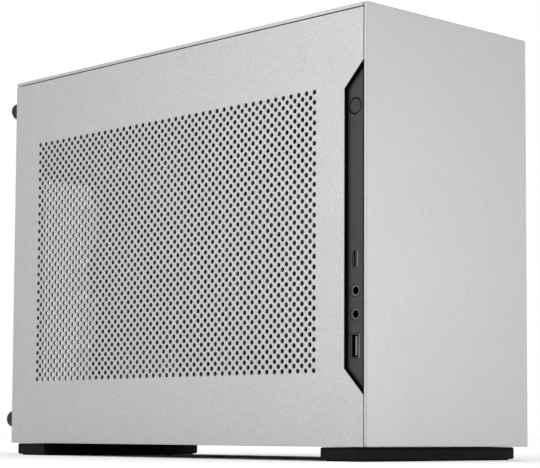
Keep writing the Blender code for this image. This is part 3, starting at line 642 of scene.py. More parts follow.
def thumb_screw(node):
    """Knurled head with a dished, slotted end, and a threaded shank."""
    low, high = box_mm(node)
    middle = (low + high) / 2
    radius, head, end = (high.x - low.x) / 2, REAR_Y + SEAM, high.y
    knurled = [
        (radius - 1.1, head), (radius - 0.4, head + 0.5, 1), (radius, head + 1, 1),
        (radius, end - 1.2, 1), (radius - 0.4, end - 0.6, 1), (radius - 0.9, end - 0.2),
        (radius - 1.5, end), (radius - 1.9, end), (radius - 2.3, end - 0.8), (0.6, end - 0.9),
    ]
    shape = Shape().turned(knurled, (middle.x, 0, middle.z), (0, 1, 0), 72, (36, 0.35))
    thread, pitch = [], 0.8
    for k in range(int((head - low.y) / pitch)):
        thread += [(1.35, low.y + k * pitch), (1.7, low.y + (k + 0.5) * pitch)]
    thread.append((1.6, head + 0.2))
    shape.turned(thread, (middle.x, 0, middle.z), (0, 1, 0), 20)
    shape.box((middle.x - 2.8, end - 1.2, middle.z - 0.4), (middle.x + 2.8, end - 0.6, middle.z + 0.4), 0.1)
    shape.make(f"{node}_knurled", BODY[node], SLOT[node], hides=[node])


def foot(node):
    """Bar foot with softened edges and a ribbed sole."""
    low, high = box_mm(node)
    shape = Shape().box((low.x, low.y, low.z + 0.6), high, 1)
    ribs = 5
    pitch = (high.y - low.y - 4) / ribs
    for k in range(ribs):
        y = low.y + 2 + k * pitch
        shape.box((low.x + 2, y + 0.6, low.z), (high.x - 2, y + pitch - 0.6, low.z + 1.2), 0.35)
    shape.make(f"{node}_bar", BODY[node], "black_rubber", hides=[node])


side_panel(-1)
side_panel(1)
front_plate()
top_plate()
for screw in [name for name in NODES if name.startswith("thumb_screw")]:
    thumb_screw(screw)
foot("front_foot")
foot("rear_foot")


# ---- front strip ----

PORT_Y = -152.2
STRIP_HOLE_GAP = 0.3


def port_outline(node, grow=0):
    """Outline of a socket in (y, z), from its CAD box: a stadium or a nearly square rectangle."""
    low, high = box_mm(node)
    radius = 0.7 if node == "usb_a_port" else (high.y - low.y) / 2 - 0.01
    outline = rectangle((low.y - grow, low.z - grow), (high.y + grow, high.z + grow))
    return fillet(outline, radius + grow, 6)


def strip_face():
    low, high = box_mm("io_strip")
    button_low, button_high = box_mm("power_button")
    holes = [circle((PORT_Y, (button_low.z + button_high.z) / 2), 4.5 + STRIP_HOLE_GAP, 40)]
    for node in ("audio_jack_upper", "audio_jack_lower"):
        jack_low, jack_high = box_mm(node)
        radius = (jack_high.z - jack_low.z) / 2
        holes.append(circle((PORT_Y, (jack_low.z + jack_high.z) / 2), radius + STRIP_HOLE_GAP, 32))
    holes += [port_outline(node, STRIP_HOLE_GAP) for node in ("usb_c_port", "usb_a_port")]
    outline = fillet(rectangle((low.y, low.z), (high.y, high.z)), 0.5)
    shape = Shape().sheet(outline, holes, high.x - low.x, lambda u, v, w: (low.x - w, u, v))
    shape.make("strip_face", BODY["io_strip"], "black_steel", "black_strip", ["io_strip"])


def strip_surround():
    """Thin lip between the strip and the notch, with a bar against the front plate, both painted near-black
    as the shade in the gaps there.
    """
    strip_low, _ = box_mm("io_strip")
    front = strip_low.y
    depth = NOTCH_IN - front
    gap, wall, proud, sink = 0.06, 0.85, 0.04, 0.02
    outer = [
        (front, NOTCH_Z[0] - depth), (NOTCH_IN, NOTCH_Z[0]),
        (NOTCH_IN, NOTCH_Z[1]), (front, NOTCH_Z[1] + depth),
    ]

    def follow(margin):
        """The line of the notch, moved toward the strip by a margin."""
        lean = margin * math.tan(math.radians(22.5))
        run = margin * math.sqrt(2)
        return [
            (outer[0][0], outer[0][1] + run), (outer[1][0] - margin, outer[1][1] + lean),
            (outer[2][0] - margin, outer[2][1] - lean), (outer[3][0], outer[3][1] - run),
        ]

    outline = follow(gap) + follow(gap + wall)[::-1]
    face, back = proud - HALF_X, strip_low.x - sink
    shape = Shape().prism(outline, "x", face, back, 0.05)
    bar_low = (face, front - 0.25, NOTCH_Z[0] - depth + 1)
    bar_high = (back, front + 0.4, NOTCH_Z[1] + depth - 1)
    shape.box(bar_low, bar_high, 0.05)
    shape.make("strip_surround", BODY["io_strip"], "black_plastic", "painted_shade_black")


def power_button():
    """Dished cap, and behind it a skirt that closes the gap round it, painted near-black as the shade in
    that gap.
    """
    low, high = box_mm("power_button")
    z = (low.z + high.z) / 2
    face = low.x
    profile = [
        (0.4, 0.5), (2.2, 0.35), (3.3, 0.08), (3.7, 0), (3.95, 0.1), (4.05, 0.4), (4.05, 1.6),
        (2, 1.7), (2, high.x - low.x),
    ]
    body = BODY["power_button"]
    cap = Shape().turned(profile, (face, PORT_Y, z), (1, 0, 0), 40)
    cap.make("power_button_cap", body, "black_steel", "black_strip", ["power_button"])
    skirt = [(2.2, 1.7), (4.4, 1.65), (5.4, 1.95), (5.4, 2.85), (2.2, 2.9)]
    well = Shape().turned(skirt, (face, PORT_Y, z), (1, 0, 0), 40)
    well.make("power_button_skirt", body, "black_plastic", "painted_shade_black")


def level_rings(outline, levels):
    """The outline at each (margin, x) of a wall's section."""
    return [[(x, u, v) for u, v in (inset(outline, margin) if margin else outline)] for margin, x in levels]


def metal_socket(node, paint, contact_count, rim, tongue):
    """Pressed shell with a rolled rim, a near-black inner sleeve painted as the shade deep in the socket,
    and a tongue of (thickness, width, shift).
    """
    low, high = box_mm(node)
    y, z = (low.y + high.y) / 2 + tongue[2], (low.z + high.z) / 2
    mouth, back, body = low.x, high.x, BODY[node]
    outline = port_outline(node)
    shell = Shape().rings(level_rings(outline, [
        (0.25, mouth + 0.05), (0, mouth + 0.3), (0, back), (rim, back), (rim, mouth + 0.3),
        (0.45 * rim + 0.1, mouth),
    ]), loop=True)
    shell.prism(inset(outline, rim * 0.8), "x", back - 1.2, back - 0.2, 0)
    shell.make(f"{node}_shell", body, "plated_steel", "dull_steel", [node])
    half, reach = tongue[0] / 2, tongue[1] / 2
    carrier = Shape().box((mouth + 0.5, y - half, z - reach), (back - 1, y + half, z + reach), 0.15)
    carrier.make(f"{node}_tongue", body, "black_plastic", paint)
    # A near-black sleeve inside the shell: painted shade deep in the socket.
    outer, inner = rim + 0.02, rim + 0.2
    shade_lining = Shape().rings(level_rings(outline, [
        (outer, mouth + 0.6), (outer, back - 1.3), (inner, back - 1.3), (inner, mouth + 0.6),
    ]), loop=True)
    shade_lining.prism(inset(outline, rim + 0.05), "x", back - 1.6, back - 1.25, 0)
    shade_lining.make(f"{node}_lining", body, "black_plastic", "painted_shade_black")
    contacts = Shape()
    pitch = tongue[1] * 0.86 / contact_count
    for k in range(contact_count):
        at = z - tongue[1] * 0.43 + (k + 0.5) * pitch
        contacts.box(
            (mouth + 2, y - half - 0.08, at - pitch * 0.25),
            (back - 3, y - half + 0.05, at + pitch * 0.25), 0.02)
    contacts.make(f"{node}_contacts", body, "plated_steel", "gold_contact")


def audio_jack(node):
    """Round barrel with a raised lip, a near-black inner sleeve painted as the shade down its bore, and one
    contact spring.
    """
    low, high = box_mm(node)
    radius, z, depth = (high.z - low.z) / 2, (low.z + high.z) / 2, high.x - low.x
    centre, body = (low.x, PORT_Y, z), BODY[node]
    profile = [
        (radius, depth), (radius, 0.35), (radius - 0.15, 0.1), (radius - 0.5, 0),
        (radius - 0.75, 0.1), (2.2, 0.35), (2.1, 0.8), (2.1, depth - 1.5), (0.3, depth - 1.5),
    ]
    barrel = Shape().turned(profile, centre, (1, 0, 0), 32)
    barrel.make(f"{node}_barrel", body, "black_plastic", "jack_grey", [node])
    # A near-black sleeve down the bore: painted shade inside the jack.
    sleeve = [(2.09, 0.7), (2.09, 9), (0.3, 9), (0.3, 8.8), (1.9, 8.8), (1.9, 0.7)]
    shade_lining = Shape().turned(sleeve, centre, (1, 0, 0), 28)
    shade_lining.make(f"{node}_lining", body, "black_plastic", "painted_shade_black")
    near, far = (low.x + 1, PORT_Y + 0.9, z - 0.7), (low.x + 6, PORT_Y + 1.7, z + 0.7)
    spring = Shape().box(near, far, 0.2)
    spring.make(f"{node}_spring", body, "plated_steel", "dull_steel")


strip_face()
strip_surround()
power_button()
metal_socket("usb_c_port", "chip_black", 8, 0.55, (0.8, 6.6, 0))
metal_socket("usb_a_port", "tongue_grey", 4, 0.55, (1.2, 10.6, -0.4))
audio_jack("audio_jack_upper")
audio_jack("audio_jack_lower")


# ---- rear wall, screws and rivets ----

CASE = BODY["base_plate"]
BOARD_FACE = -8
FAN_HOLE = 52.5
APERTURE = (-48.6, 21), (-4.15, 179.75)
APERTURE_LIP = (-50.2, 19.4), (-2.6, 181.3)
INLET_HOLE = (-44.3, 198.7), (-15.7, 219.3)
SLOT_START, SLOT_STEP, SLOT_WIDE, SLOT_Z = 6, 20.32, 14, (42, 142)
VENT_START, VENT_STEP, VENT_COUNT = (8, 190), (4.6, 2.7), (11, 16)


def corners(middle, reach):
    """The four points round a middle, a reach away both ways."""
    return [(middle[0] + a * reach, middle[1] + b * reach) for a in (-1, 1) for b in (-1, 1)]


def rear_wall():
    low, high = box_mm("rear_wall")
    outline = fillet(rectangle((low.x, low.z), (high.x, high.z)), 1)
    holes = [fillet(rectangle(*APERTURE), 1)]
    for k in range(3):
        x = SLOT_START + SLOT_STEP * k
        holes.append(fillet(rectangle((x, SLOT_Z[0]), (x + SLOT_WIDE, SLOT_Z[1])), 0.8))
    holes.append(fillet(rectangle(*INLET_HOLE), 1.5))
    holes += [circle((side * SCREW_X, z), 2.3, 16) for side in (-1, 1) for z in SCREW_Z]
    holes += [
        circle((VENT_START[0] + VENT_STEP[0] * i, VENT_START[1] + VENT_STEP[1] * j), 1.7, 10)
        for j in range(VENT_COUNT[1]) for i in range(VENT_COUNT[0]) if (i + j) % 2 == 0
    ]
    shape = Shape().sheet(outline, holes, high.y - low.y, lambda u, v, w: (u, high.y + w, v), 0.2)
    shape.make("rear_wall_sheet", CASE, SLOT["rear_wall"], hides=["rear_wall"])
    lip = Shape().band(fillet(rectangle(*APERTURE_LIP), 1.8), 1, "y", high.y - 0.1, high.y + 0.5)
    lip.make("rear_aperture_lip", CASE, SLOT["rear_wall"])


def screw_heads(shape, spots, axis, radius, height):
    """Pan heads with a socket in them, standing on their spots."""
    r, h = radius, height
    profile = [(r, 0), (r, 0.45 * h), (0.85 * r, 0.8 * h), (0.45 * r, h), (0.4 * r, 0.9 * h),
               (0.38 * r, 0.4 * h), (0.1, 0.35 * h)]
    for spot in spots:
        shape.turned(profile, spot, axis, 18)


def machine_screws():
    """Screws of the board, the supply's bracket, the card and the fans."""
    shape = Shape()
    board = [(BOARD_FACE - 0.05, y, z) for y in (148.5, -6.4) for z in (178.1, 20.7)]
    screw_heads(shape, board, (-1, 0, 0), 3, 2)
    bracket = [(x, -137.05, z) for x in (-55, -11) for z in (28, 145)]
    screw_heads(shape, bracket, (0, -1, 0), 2.8, 1.6)
    screw_heads(shape, [(x, 158.85, 149.3) for x in (12, 34)], (0, 1, 0), 2.2, 0.8)
    backplate = [(5.55, y, z) for y in (-100, -20, 55, 140) for z in (46, 144)]
    screw_heads(shape, backplate, (-1, 0, 0), 1.9, 1)
    for place in ("front", "rear"):
        low, high = box_mm(f"fan_frame_{place}")
        spots = [(x, y, low.z - 0.1) for x, y in corners((0, (low.y + high.y) / 2), FAN_HOLE)]
        screw_heads(shape, spots, (0, 0, -1), 3.2, 1.6)
    shape.make("machine_screws", CASE, "zinc_steel")


def inlet_screws():
    face = box_mm("ac_inlet")[1].y + 0.02
    shape = Shape()
    screw_heads(shape, [(x, face, 209) for x in (-50.5, -9.5)], (0, 1, 0), 2.4, 1.2)
    shape.make("inlet_screws", CASE, "black_knurled_metal")


def frame_rivets():
    """Two rows on the base and a row along each edge of the frame's sides."""
    on_base = [(2.2, 1.45), (1.9, 1.9), (1.1, 2.2), (0.2, 2.3)]
    on_side = [(2, -0.05), (1.7, 0.3), (0.9, 0.5), (0.1, 0.55)]
    shape = Shape()
    for y in range(-140, 160, 40):
        for x in (-10, 11.6):
            shape.turned(on_base, (x, y, 0), (0, 0, 1), 14)
        for side in (-1, 1):
            for z in (6.5, 234):
                shape.turned(on_side, (side * 66.25, y, z), (-side, 0, 0), 14)
    shape.make("frame_rivets", CASE, "black_steel")


# ---- motherboard ----

PROCESSOR = (85, 114.5)
CAN = [(2.6, 0), (2.6, 0.6), (2.4, 0.9), (2.6, 1.2), (2.6, 6.2), (2.2, 6.6)]
CAN_TOP = [(2.15, 6.5), (2.15, 6.68), (0.2, 6.7)]
CELL = [(9.8, 0.6), (10, 1), (10, 3.2), (9.4, 3.6), (0.4, 3.6)]
CELL_SPOT = (52, 72)
PIN_PITCH = 2.54


def on_board(shape, low, high, height, bevel):
    """A block on the motherboard, from (y, z) to (y, z)."""
    return shape.box((BOARD_FACE - height, *low), (BOARD_FACE + 0.05, *high), bevel)


def chipset_heatsink():
    shape = Shape().box((BOARD_FACE - 4, 123, 63), (BOARD_FACE - 1.2, 139, 79), 0.4)
    for k in range(5):
        y = 124 + 3.2 * k
        shape.box((BOARD_FACE - 6, y, 63.6), (BOARD_FACE - 3.8, y + 1.4, 78.4), 0.2)
    shape.make("chipset_heatsink", CASE, "fin_aluminium", "memory_heat_spreader")


def power_stage():
    """Coils and chips in a row beside the processor, and more chips about the board."""
    coils, chips = Shape(), Shape()
    for k in range(8):
        z = 84 + 8.6 * k
        on_board(coils, (122, z), (129.6, z + 7.4), 4.2, 0.9)
        on_board(chips, (131.5, z + 0.8), (137, z + 6.4), 1.1, 0.15)
    for low, high in (
        ((122, 62), (140, 80)), ((-8, 84), (4, 96)), ((96, 64), (106, 74)), ((30, 26), (38, 34)),
    ):
        on_board(chips, low, high, 1.3, 0.2)
    coils.make("board_coils", CASE, "black_plastic", "ferrite")
    chips.make("board_chips", CASE, "black_plastic", "chip_black")


def capacitors():
    spots = [(118, 88 + 10 * k) for k in range(6)]
    spots += [(32.5, 48 + 9 * k) for k in range(13)]
    spots += [(66 + 9 * k, 70) for k in range(6)]
    spots += [(-5, 60), (-5, 50), (2.5, 34)]
    cans, tops = Shape(), Shape()
    for spot in spots:
        cans.turned(CAN, (BOARD_FACE, *spot), (-1, 0, 0), 20)
        tops.turned(CAN_TOP, (BOARD_FACE, *spot), (-1, 0, 0), 16)
    cans.make("board_capacitors", CASE, "black_plastic")
    tops.make("board_capacitor_tops", CASE, "plated_steel", "dull_steel")


def headers():
    """Pin headers along the lower edge, two shrouded sockets at the front and the cell's holder."""
    bases, pins = Shape(), Shape()
    for start, count in ((-6, 5), (10, 9), (36, 5)):
        on_board(bases, (start, 15.2), (start + PIN_PITCH * count, 20), 2.5, 0.2)
        for k in range(count):
            y = start + PIN_PITCH * k + 0.95
            for z in (16.3, 18.9):
                pins.box((BOARD_FACE - 8, y, z - 0.32), (BOARD_FACE - 2.3, y + 0.64, z + 0.32), 0.08)
    for z in (70, 98):
        shroud = rectangle((-10.6, z), (-2, z + 12))
        bases.band(shroud, 1, "x", BOARD_FACE - 8.5, BOARD_FACE + 0.05)
        bases.box((BOARD_FACE - 6, -7, z + 2), (BOARD_FACE, -5.8, z + 10), 0.1)
    cell = Shape().turned(CELL, (BOARD_FACE, *CELL_SPOT), (-1, 0, 0), 40)
    cell.make("board_cell", CASE, "plated_steel")
    bases.band(circle(CELL_SPOT, 11.4, 40), 1.1, "x", BOARD_FACE - 2.6, BOARD_FACE + 0.05)
    bases.make("board_headers", CASE, "black_plastic")
    pins.make("board_pins", CASE, "plated_steel", "gold_contact")


def taken(y, z):
    """Whether a place on the board is under a larger component."""
    processor = abs(y - PROCESSOR[0]) <= 32 and abs(z - PROCESSOR[1]) <= 32
    memory = 6 < y < 27
    heatsinks = 39 < y < 119 and (z > 150 or z < 61)
    front_sockets = y < 0 and 66 < z < 170
    return processor or memory or heatsinks or front_sockets


def chip_parts():
    """Small resistors and capacitors scattered over what is free."""
    shape = Shape()
    for _ in range(260):
        y, z = random.uniform(-9, 139), random.uniform(28, 182)
        if taken(y, z):
            continue
        long, wide = random.choice([(1.6, 0.8), (2, 1.2), (1, 0.5)])
        if random.random() < 0.5:
            long, wide = wide, long
        on_board(shape, (y, z), (y + long, z + wide), 0.7, 0.12)
    shape.make("board_chip_parts", CASE, "plated_steel", "ceramic_tan")


def memory_module(node):
    """A board in its socket, with a toothed spreader clamped on each face."""
    low, high = box_mm(node)
    y = (low.y + high.y) / 2
    tooth, end, foot_x = 2.2, 4, -15
    root, count = low.x + tooth, 9
    pitch = (high.z - low.z - 2 * end) / count
    outline = [(foot_x, low.z), (root, low.z)]
    for k in range(count):
        z = low.z + end + k * pitch
        outline += [(root, z), (low.x, z + 1.6), (low.x, z + pitch - 3.2), (root, z + pitch - 1.6)]
    outline += [(root, high.z), (foot_x, high.z)]
    for name, side in (("left", -1), ("right", 1)):
        spreader = Shape().prism(outline, "y", *sorted((y + side * 0.75, y + side * 3.3)), 0.35)
        inner, outer = sorted((y + side * 3.2, y + side * 3.5))
        for k in range(4):
            x = -22 - 4.6 * k
            spreader.box((x, inner, low.z + 12), (x + 2.4, outer, high.z - 12), 0.12)
        hides = [node] if side < 0 else ()
        spreader.make(f"{node}_spreader_{name}", BODY[node], "memory_heat_spreader", hides=hides)
    board = Shape().box((low.x + 3, y - 0.6, low.z + 0.3), (high.x, y + 0.6, high.z - 0.3), 0.1)
    board.make(f"{node}_board", BODY[node], "circuit_board")
    socket = Shape()
    for near, far in ((-3.2, -0.7), (0.7, 3.2)):
        socket.box((-14.6, y + near, low.z), (high.x, y + far, high.z), 0.3)
    socket.make(f"{node}_socket", BODY[node], "black_plastic")


PUMP_CAP = [
    (29.2, -20.2), (30, -21), (30, -42.5), (29.4, -44.2), (28, -45.4), (26.8, -45.8),
    (26.2, -45), (25.4, -45), (24.8, -46.2), (19, -47.4), (10, -47.9), (0.5, -48),
]
SCREW_CAP = [(4, 0), (4, 2.6), (3.4, 3.2), (1.5, 3.2), (1.4, 1.6), (0.2, 1.6)]
PUMP_PLATE, PUMP_SCREW, PUMP_ARM = 28, 33, 26


def pump():
    """Round cooler head: domed cap with a ring in its groove, and a square base."""
    y, z = PROCESSOR
    cap = Shape().turned(PUMP_CAP, (0, y, z), (1, 0, 0), 64)
    cap.make("pump_cap", CASE, "black_plastic", hides=["pump_block"])
    base = Shape().box(
        (-21.5, y - PUMP_PLATE, z - PUMP_PLATE), (-13.5, y + PUMP_PLATE, z + PUMP_PLATE), 1)
    base.band(circle((y, z), 30, 64), 1.2, "x", -24.5, -22.5)
    base.make("pump_base", CASE, "black_plastic", "black_knurled_metal")
    ring = Shape().hoop((-45.3, y, z), (1, 0, 0), 25.8, 0.35, 72)
    ring.make("pump_ring", CASE, "plated_steel")


def pump_screws():
    """Four arms of the pump's base, each with a screw in a spring."""
    screws, springs = Shape(), Shape()
    head_x, turns, steps = -24, 5, 60
    places = zip(corners(PROCESSOR, PUMP_ARM), corners(PROCESSOR, PUMP_SCREW))
    for name, (inner, spot) in zip(("00", "01", "10", "11"), places):
        arm = Shape().pipe([(-16.5, *inner), (-16.5, *spot)], 2.4, 12)
        arm.make(f"pump_arm_{name}", CASE, "black_knurled_metal")
        screws.rod((head_x, *spot), (BOARD_FACE - 0.1, *spot), 1.8, 16)
        screws.turned(SCREW_CAP, (head_x, *spot), (-1, 0, 0), 24)
        angles = [2 * math.pi * turns * t / steps for t in range(steps + 1)]
        springs.pipe([
            (-23.5 + 4.6 * t / steps, spot[0] + 3 * math.cos(a), spot[1] + 3 * math.sin(a))
            for t, a in enumerate(angles)
        ], 0.45, 8)
    screws.make("pump_screws", CASE, "plated_steel")
    springs.make("pump_springs", CASE, "plated_steel")


def hose_collars():
    on_pump = [(5.4, -2.5), (6.6, -2), (6.6, 1.6), (6, 2.4), (6, 5), (5.2, 5.6)]
    on_tank = [(5.2, -6.5), (6, -6), (6, -3), (6.8, -2.2), (6.8, -0.4), (5.6, 0.2)]
    shape = Shape()
    for y in (73, 91):
        shape.turned(on_pump, (-38, y, 146), (0, 0, 1), 28)
    for x in (-34, -51):
        shape.turned(on_tank, (x, 118.5, 212), (0, 0, 1), 28)
    shape.make("hose_collars", CASE, "black_knurled_metal")


def rear_sockets():
    """Tongues, contacts and rims inside the board's rear connectors."""
    dark, metal, rims = Shape(), Shape(), Shape()
    for z in (75.5, 91.5):
        dark.box((-13.2, 151, z - 5.2), (-11.4, 159.4, z + 5.2), 0.2)
        for k in range(4):
            start = z - 4.3 + 2.4 * k
            metal.box((-13.35, 152, start), (-13.1, 158.8, start + 1.2), 0.05)
    for z in (137.5, 156.5):
        dark.box((-12.4, 151, z - 6), (-11.1, 159, z + 6), 0.2)
    for k in range(8):
        start = 107.6 + 1.3 * k
        metal.box((-12.2, 151, start), (-11.7, 158.5, start + 0.6), 0.05)
    for k in range(3):
        spot = (-14.4, 159.8, 33.5 + 12.5 * k)
        rims.turned([(3.5, 0), (3.5, 1), (2, 1.2), (1.9, 0.2)], spot, (0, 1, 0), 24)
    dark.make("rear_socket_tongues", CASE, "black_plastic")
    metal.make("rear_socket_contacts", CASE, "plated_steel", "gold_contact")
    rims.make("rear_audio_rims", CASE, "black_plastic", "jack_grey")


def atx_plug():
    """Power plug on its socket: a block with two rows of raised cells."""
    low, high = box_mm("atx_socket")
    rows, cells, margin = (0.9, 5.2), 12, 0.6
    shape = Shape().box(low, high, 0.5)
    for k in range(cells):
        z = low.z + margin + k * (high.z - low.z - 2 * margin) / cells
        for row in rows:
            y = low.y + row
            shape.box((low.x - 0.5, y, z + 0.3), (low.x + 0.5, y + 3.6, z + 3.7), 0.3)
    shape.make("atx_plug", CASE, "black_plastic", hides=["atx_socket"])


# ---- cooling ----

TANK, RAIL, TUBES = 20, 2.4, 12


def radiator():
    """Two tanks, two side rails, flat tubes between them and a zigzag fin in each gap."""
    low, high = box_mm("radiator")
    start, end = low.y + TANK, high.y - TANK
    shell, tubes, fins = Shape(), Shape(), Shape()
    shell.box(low, (high.x, start, high.z), 2)
    shell.box((low.x, end, low.z), high, 2)
    for side in (-1, 1):
        near, far = sorted((side * high.x, side * (high.x - RAIL)))
        shell.box((near, start - 1, low.z + 0.2), (far, end + 1, high.z - 0.2), 0.4)
    pitch = 2 * (high.x - RAIL) / TUBES
    folds = int((end - start) / 1.5)
    bottom, top, foil = low.z + 2.6, high.z - 2.6, 0.12
    for k in range(TUBES):
        x = low.x + RAIL + k * pitch
        if k:
            tubes.box((x - 0.9, start - 0.5, low.z + 2), (x + 0.9, end + 0.5, high.z - 2), 0.5)
        rings = []
        for j in range(folds + 1):
            y = start + j * (end - start) / folds
            at = x + pitch - 0.95 if j % 2 == 0 else x + 0.95
            rings.append([(at, y, bottom), (at, y + foil, bottom), (at, y + foil, top), (at, y, top)])
        fins.rings(rings)
    shell.make("radiator_tanks", CASE, "black_painted_radiator", hides=["radiator"])
    tubes.make("radiator_tubes", CASE, "black_painted_radiator")
    fins.make("radiator_fins", CASE, "black_painted_radiator", smooth=20)


def blade_rings(hub, tip, low, high, base, sweep, twist, rows=7, across=6):
    """Sections of one blade from the hub out, each a closed lens. It leans forward toward the tip."""
    root = hub * 0.96
    middle, height = (low + high) / 2, high - low
    rings = []
    for i in range(rows + 1):
        t = i / rows
        radius = root + (tip - root) * t
        pitch = math.radians(twist[0] + (twist[1] - twist[0]) * t)
        rise = height * (1 - 0.12 * t * t)
        span = rise / math.tan(pitch)
        upper, lower = [], []
        for j in range(across + 1):
            s = 2 * j / across - 1
            arch = 1 - s * s
            half = (0.2 + 0.75 * math.sqrt(max(0, arch)) * (1 - 0.35 * t)) / 2
            angle = base + sweep * t * t + s * span / 2 / radius
            level = middle + s * rise / 2 + 0.06 * height * arch
            level = min(max(level, low + 0.6), high - 0.6)
            flat = (radius * math.cos(angle), radius * math.sin(angle))
            upper.append(Vector((*flat, level + half)))
            lower.append(Vector((*flat, level - half)))
        rings.append(upper + lower[::-1])
    return rings


def rotor(node, centre, axis, hub, tip, depth, count, sweep=0.45, twist=(52, 34)):
    """Hub cap with a ring groove, and its blades."""
    profile = [
        (0.3, 0), (hub - 4.6, 0), (hub - 4.2, 0.35), (hub - 3.8, 0), (hub - 1.6, 0.1),
        (hub - 0.5, 0.6), (hub, 1.8), (hub, depth), (hub - 1.5, depth), (hub - 1.6, depth - 0.6),
        (0.3, depth - 0.6),
    ]
    shape = Shape().turned(profile, centre, axis, 48)
    spot = facing(centre, axis)
    for k in range(count):
        rings = blade_rings(hub, tip, 2, depth - 2, 2 * math.pi * k / count, sweep, twist)
        shape.rings([[spot @ point for point in ring] for ring in rings])
    shape.make(f"{node}_blades", BODY[node], "black_plastic", "fan_blade", [node])


BORE, FLANGE, FAN_HUB = 58.2, 4, 20


def case_fan(place):
    """Square frame made of two flanges, a bore wall, corner posts and four curved arms."""
    node = f"fan_frame_{place}"
    low, high = box_mm(node)
    y = (low.y + high.y) / 2
    screw_spots = corners((0, y), FAN_HOLE)
    outline = fillet(rectangle((low.x, low.y), (high.x, high.y)), 6)
    holes = [circle((0, y), BORE, 72), *[circle(spot, 2.2, 16) for spot in screw_spots]]
    inner_low, inner_high = low.z + FLANGE - 0.5, high.z - FLANGE + 0.5
    shape = Shape()
    for top in (high.z, low.z + FLANGE):
        shape.sheet(outline, holes, FLANGE, lambda u, v, w, t=top: (u, v, t + w), 0.6)
    shape.band(circle((0, y), BORE + 1.5, 72), 1.5, "z", inner_low, inner_high)
    for spot in screw_spots:
        shape.band(circle(spot, 4, 20), 1.6, "z", inner_low, inner_high)
    for k in range(4):
        arm = []
        for j in range(9):
            t = j / 8
            angle = math.pi / 4 + k * math.pi / 2 + 0.42 * math.sin(math.pi * t / 2)
            reach = FAN_HUB - 1 + (BORE - 17.8) * t
            arm.append((reach * math.cos(angle), y + reach * math.sin(angle), low.z + 2.2))
        shape.pipe(arm, 1.6, 8)
    motor = [(FAN_HUB, 3.8), (FAN_HUB, 0.8), (FAN_HUB - 0.8, 0.2), (0.4, 0.2)]
    shape.turned(motor, (0, y, low.z), (0, 0, 1), 48)
    shape.make(f"{node}_shell", BODY[node], "black_plastic", hides=[node])
    pads = Shape()
    for spot in screw_spots:
        pads.band(circle(spot, 6, 24), 2.2, "z", low.z - 0.15, low.z + 0.8)
    pads.make(f"{node}_pads", BODY[node], "black_rubber")
    rotor(f"fan_rotor_{place}", (0, y, low.z + 5), (0, 0, 1), FAN_HUB, 56, 18, 9)


# ---- power supply ----

SUPPLY_FAN = (-85, 82.5)


def wire_guard():
    """Rings and four spokes in front of the supply's fan."""
    y, z = SUPPLY_FAN
    x = box_mm("psu_fan_grille")[0].x + 0.62
    shape = Shape()
    for radius in (16, 23, 30, 37, 44):
        shape.hoop((x, y, z), (1, 0, 0), radius, 0.6, 60)
    for k in range(4):
        angle = math.pi / 4 + k * math.pi / 2
        spoke = [(x, y + r * math.cos(angle), z + r * math.sin(angle)) for r in (15.5, 30, 46)]
        shape.pipe(spoke, 0.6, 8)
        shape.turned([(3, 0.25), (3, -0.25), (0.3, -0.25)], spoke[-1], (1, 0, 0), 16)
    shape.make("psu_wire_guard", CASE, SLOT["psu_fan_grille"], hides=["psu_fan_grille"])


def modular_sockets():
    """Six rows of two sockets on the supply's inner end, in turns wide and narrow."""
    face = box_mm("psu_housing")[1].y
    rims, contacts = Shape(), Shape()
    for row in range(6):
        z, wide = 30 + 14 * row, 14 if row % 2 else 17
        pitch = (wide - 4) / 4
        for x in (-58, -38):
            rim = fillet(rectangle((x, z), (x + wide, z + 9.6)), 0.6)
            rims.band(rim, 1.1, "y", face - 0.1, face + 1)
            for k in range(4):
                for level in (z + 1.6, z + 5.3):
                    low = (x + 2 + k * pitch, face - 0.05, level)
                    high = (x + 1.8 + (k + 1) * pitch, face + 0.12, level + 2.1)
                    contacts.box(low, high, 0.05)
    rims.make("psu_socket_rims", CASE, "black_plastic")
    contacts.make("psu_socket_contacts", CASE, "plated_steel", "gold_contact")


def power_supply():
    """Guard, rotor and sockets of the supply, and the seams and screws of its lid."""
    low, high = box_mm("psu_housing")
    wire_guard()
    rotor("psu_fan_rotor", (low.x + 3, *SUPPLY_FAN), (1, 0, 0), 16, 45, 17, 9, 0.4, (50, 32))
    modular_sockets()
    lid = Shape()
    for z in (low.z + 1.6, high.z - 2.4):
        lid.box((low.x - 0.18, low.y + 3, z), (low.x + 0.1, high.y - 3, z + 0.8), 0.08)
    spots = [(low.x - 0.02, y, z) for y in (low.y + 5, high.y - 5) for z in (low.z + 6, high.z - 6)]
    screw_heads(lid, spots, (-1, 0, 0), 2.2, 0.9)
    lid.make("psu_lid_screws", CASE, "black_knurled_metal")


# ---- graphics card ----

CARD_FANS = {"front": -46, "rear": 62}
CARD_Z, CARD_BORE, CARD_CORNER = 95, 48.5, 9


def card_shroud():
    """Face with two bores, a wall round its chamfered outline and one round each bore."""
    low, high = box_mm("gpu_shroud")
    y0, y1, z0, z1, cut = low.y, high.y, low.z, high.z, CARD_CORNER
    outline = fillet([
        (y0 + cut, z0), (y1 - cut, z0), (y1, z0 + cut), (y1, z1 - cut),
        (y1 - cut, z1), (y0 + cut, z1), (y0, z1 - cut), (y0, z0 + cut),
    ], 2, 3)
    holes = [circle((y, CARD_Z), CARD_BORE, 72) for y in CARD_FANS.values()]
    shape = Shape().sheet(outline, holes, 2, lambda u, v, w: (high.x + w, u, v), 0.8)
    shape.band(outline, 1.8, "x", low.x + 9, high.x - 1)
    for y in CARD_FANS.values():
        shape.band(circle((y, CARD_Z), CARD_BORE + 1.6, 72), 1.6, "x", high.x - 9, high.x - 0.02)
    shape.make("gpu_shroud_shell", CASE, "black_plastic", hides=["gpu_shroud"])


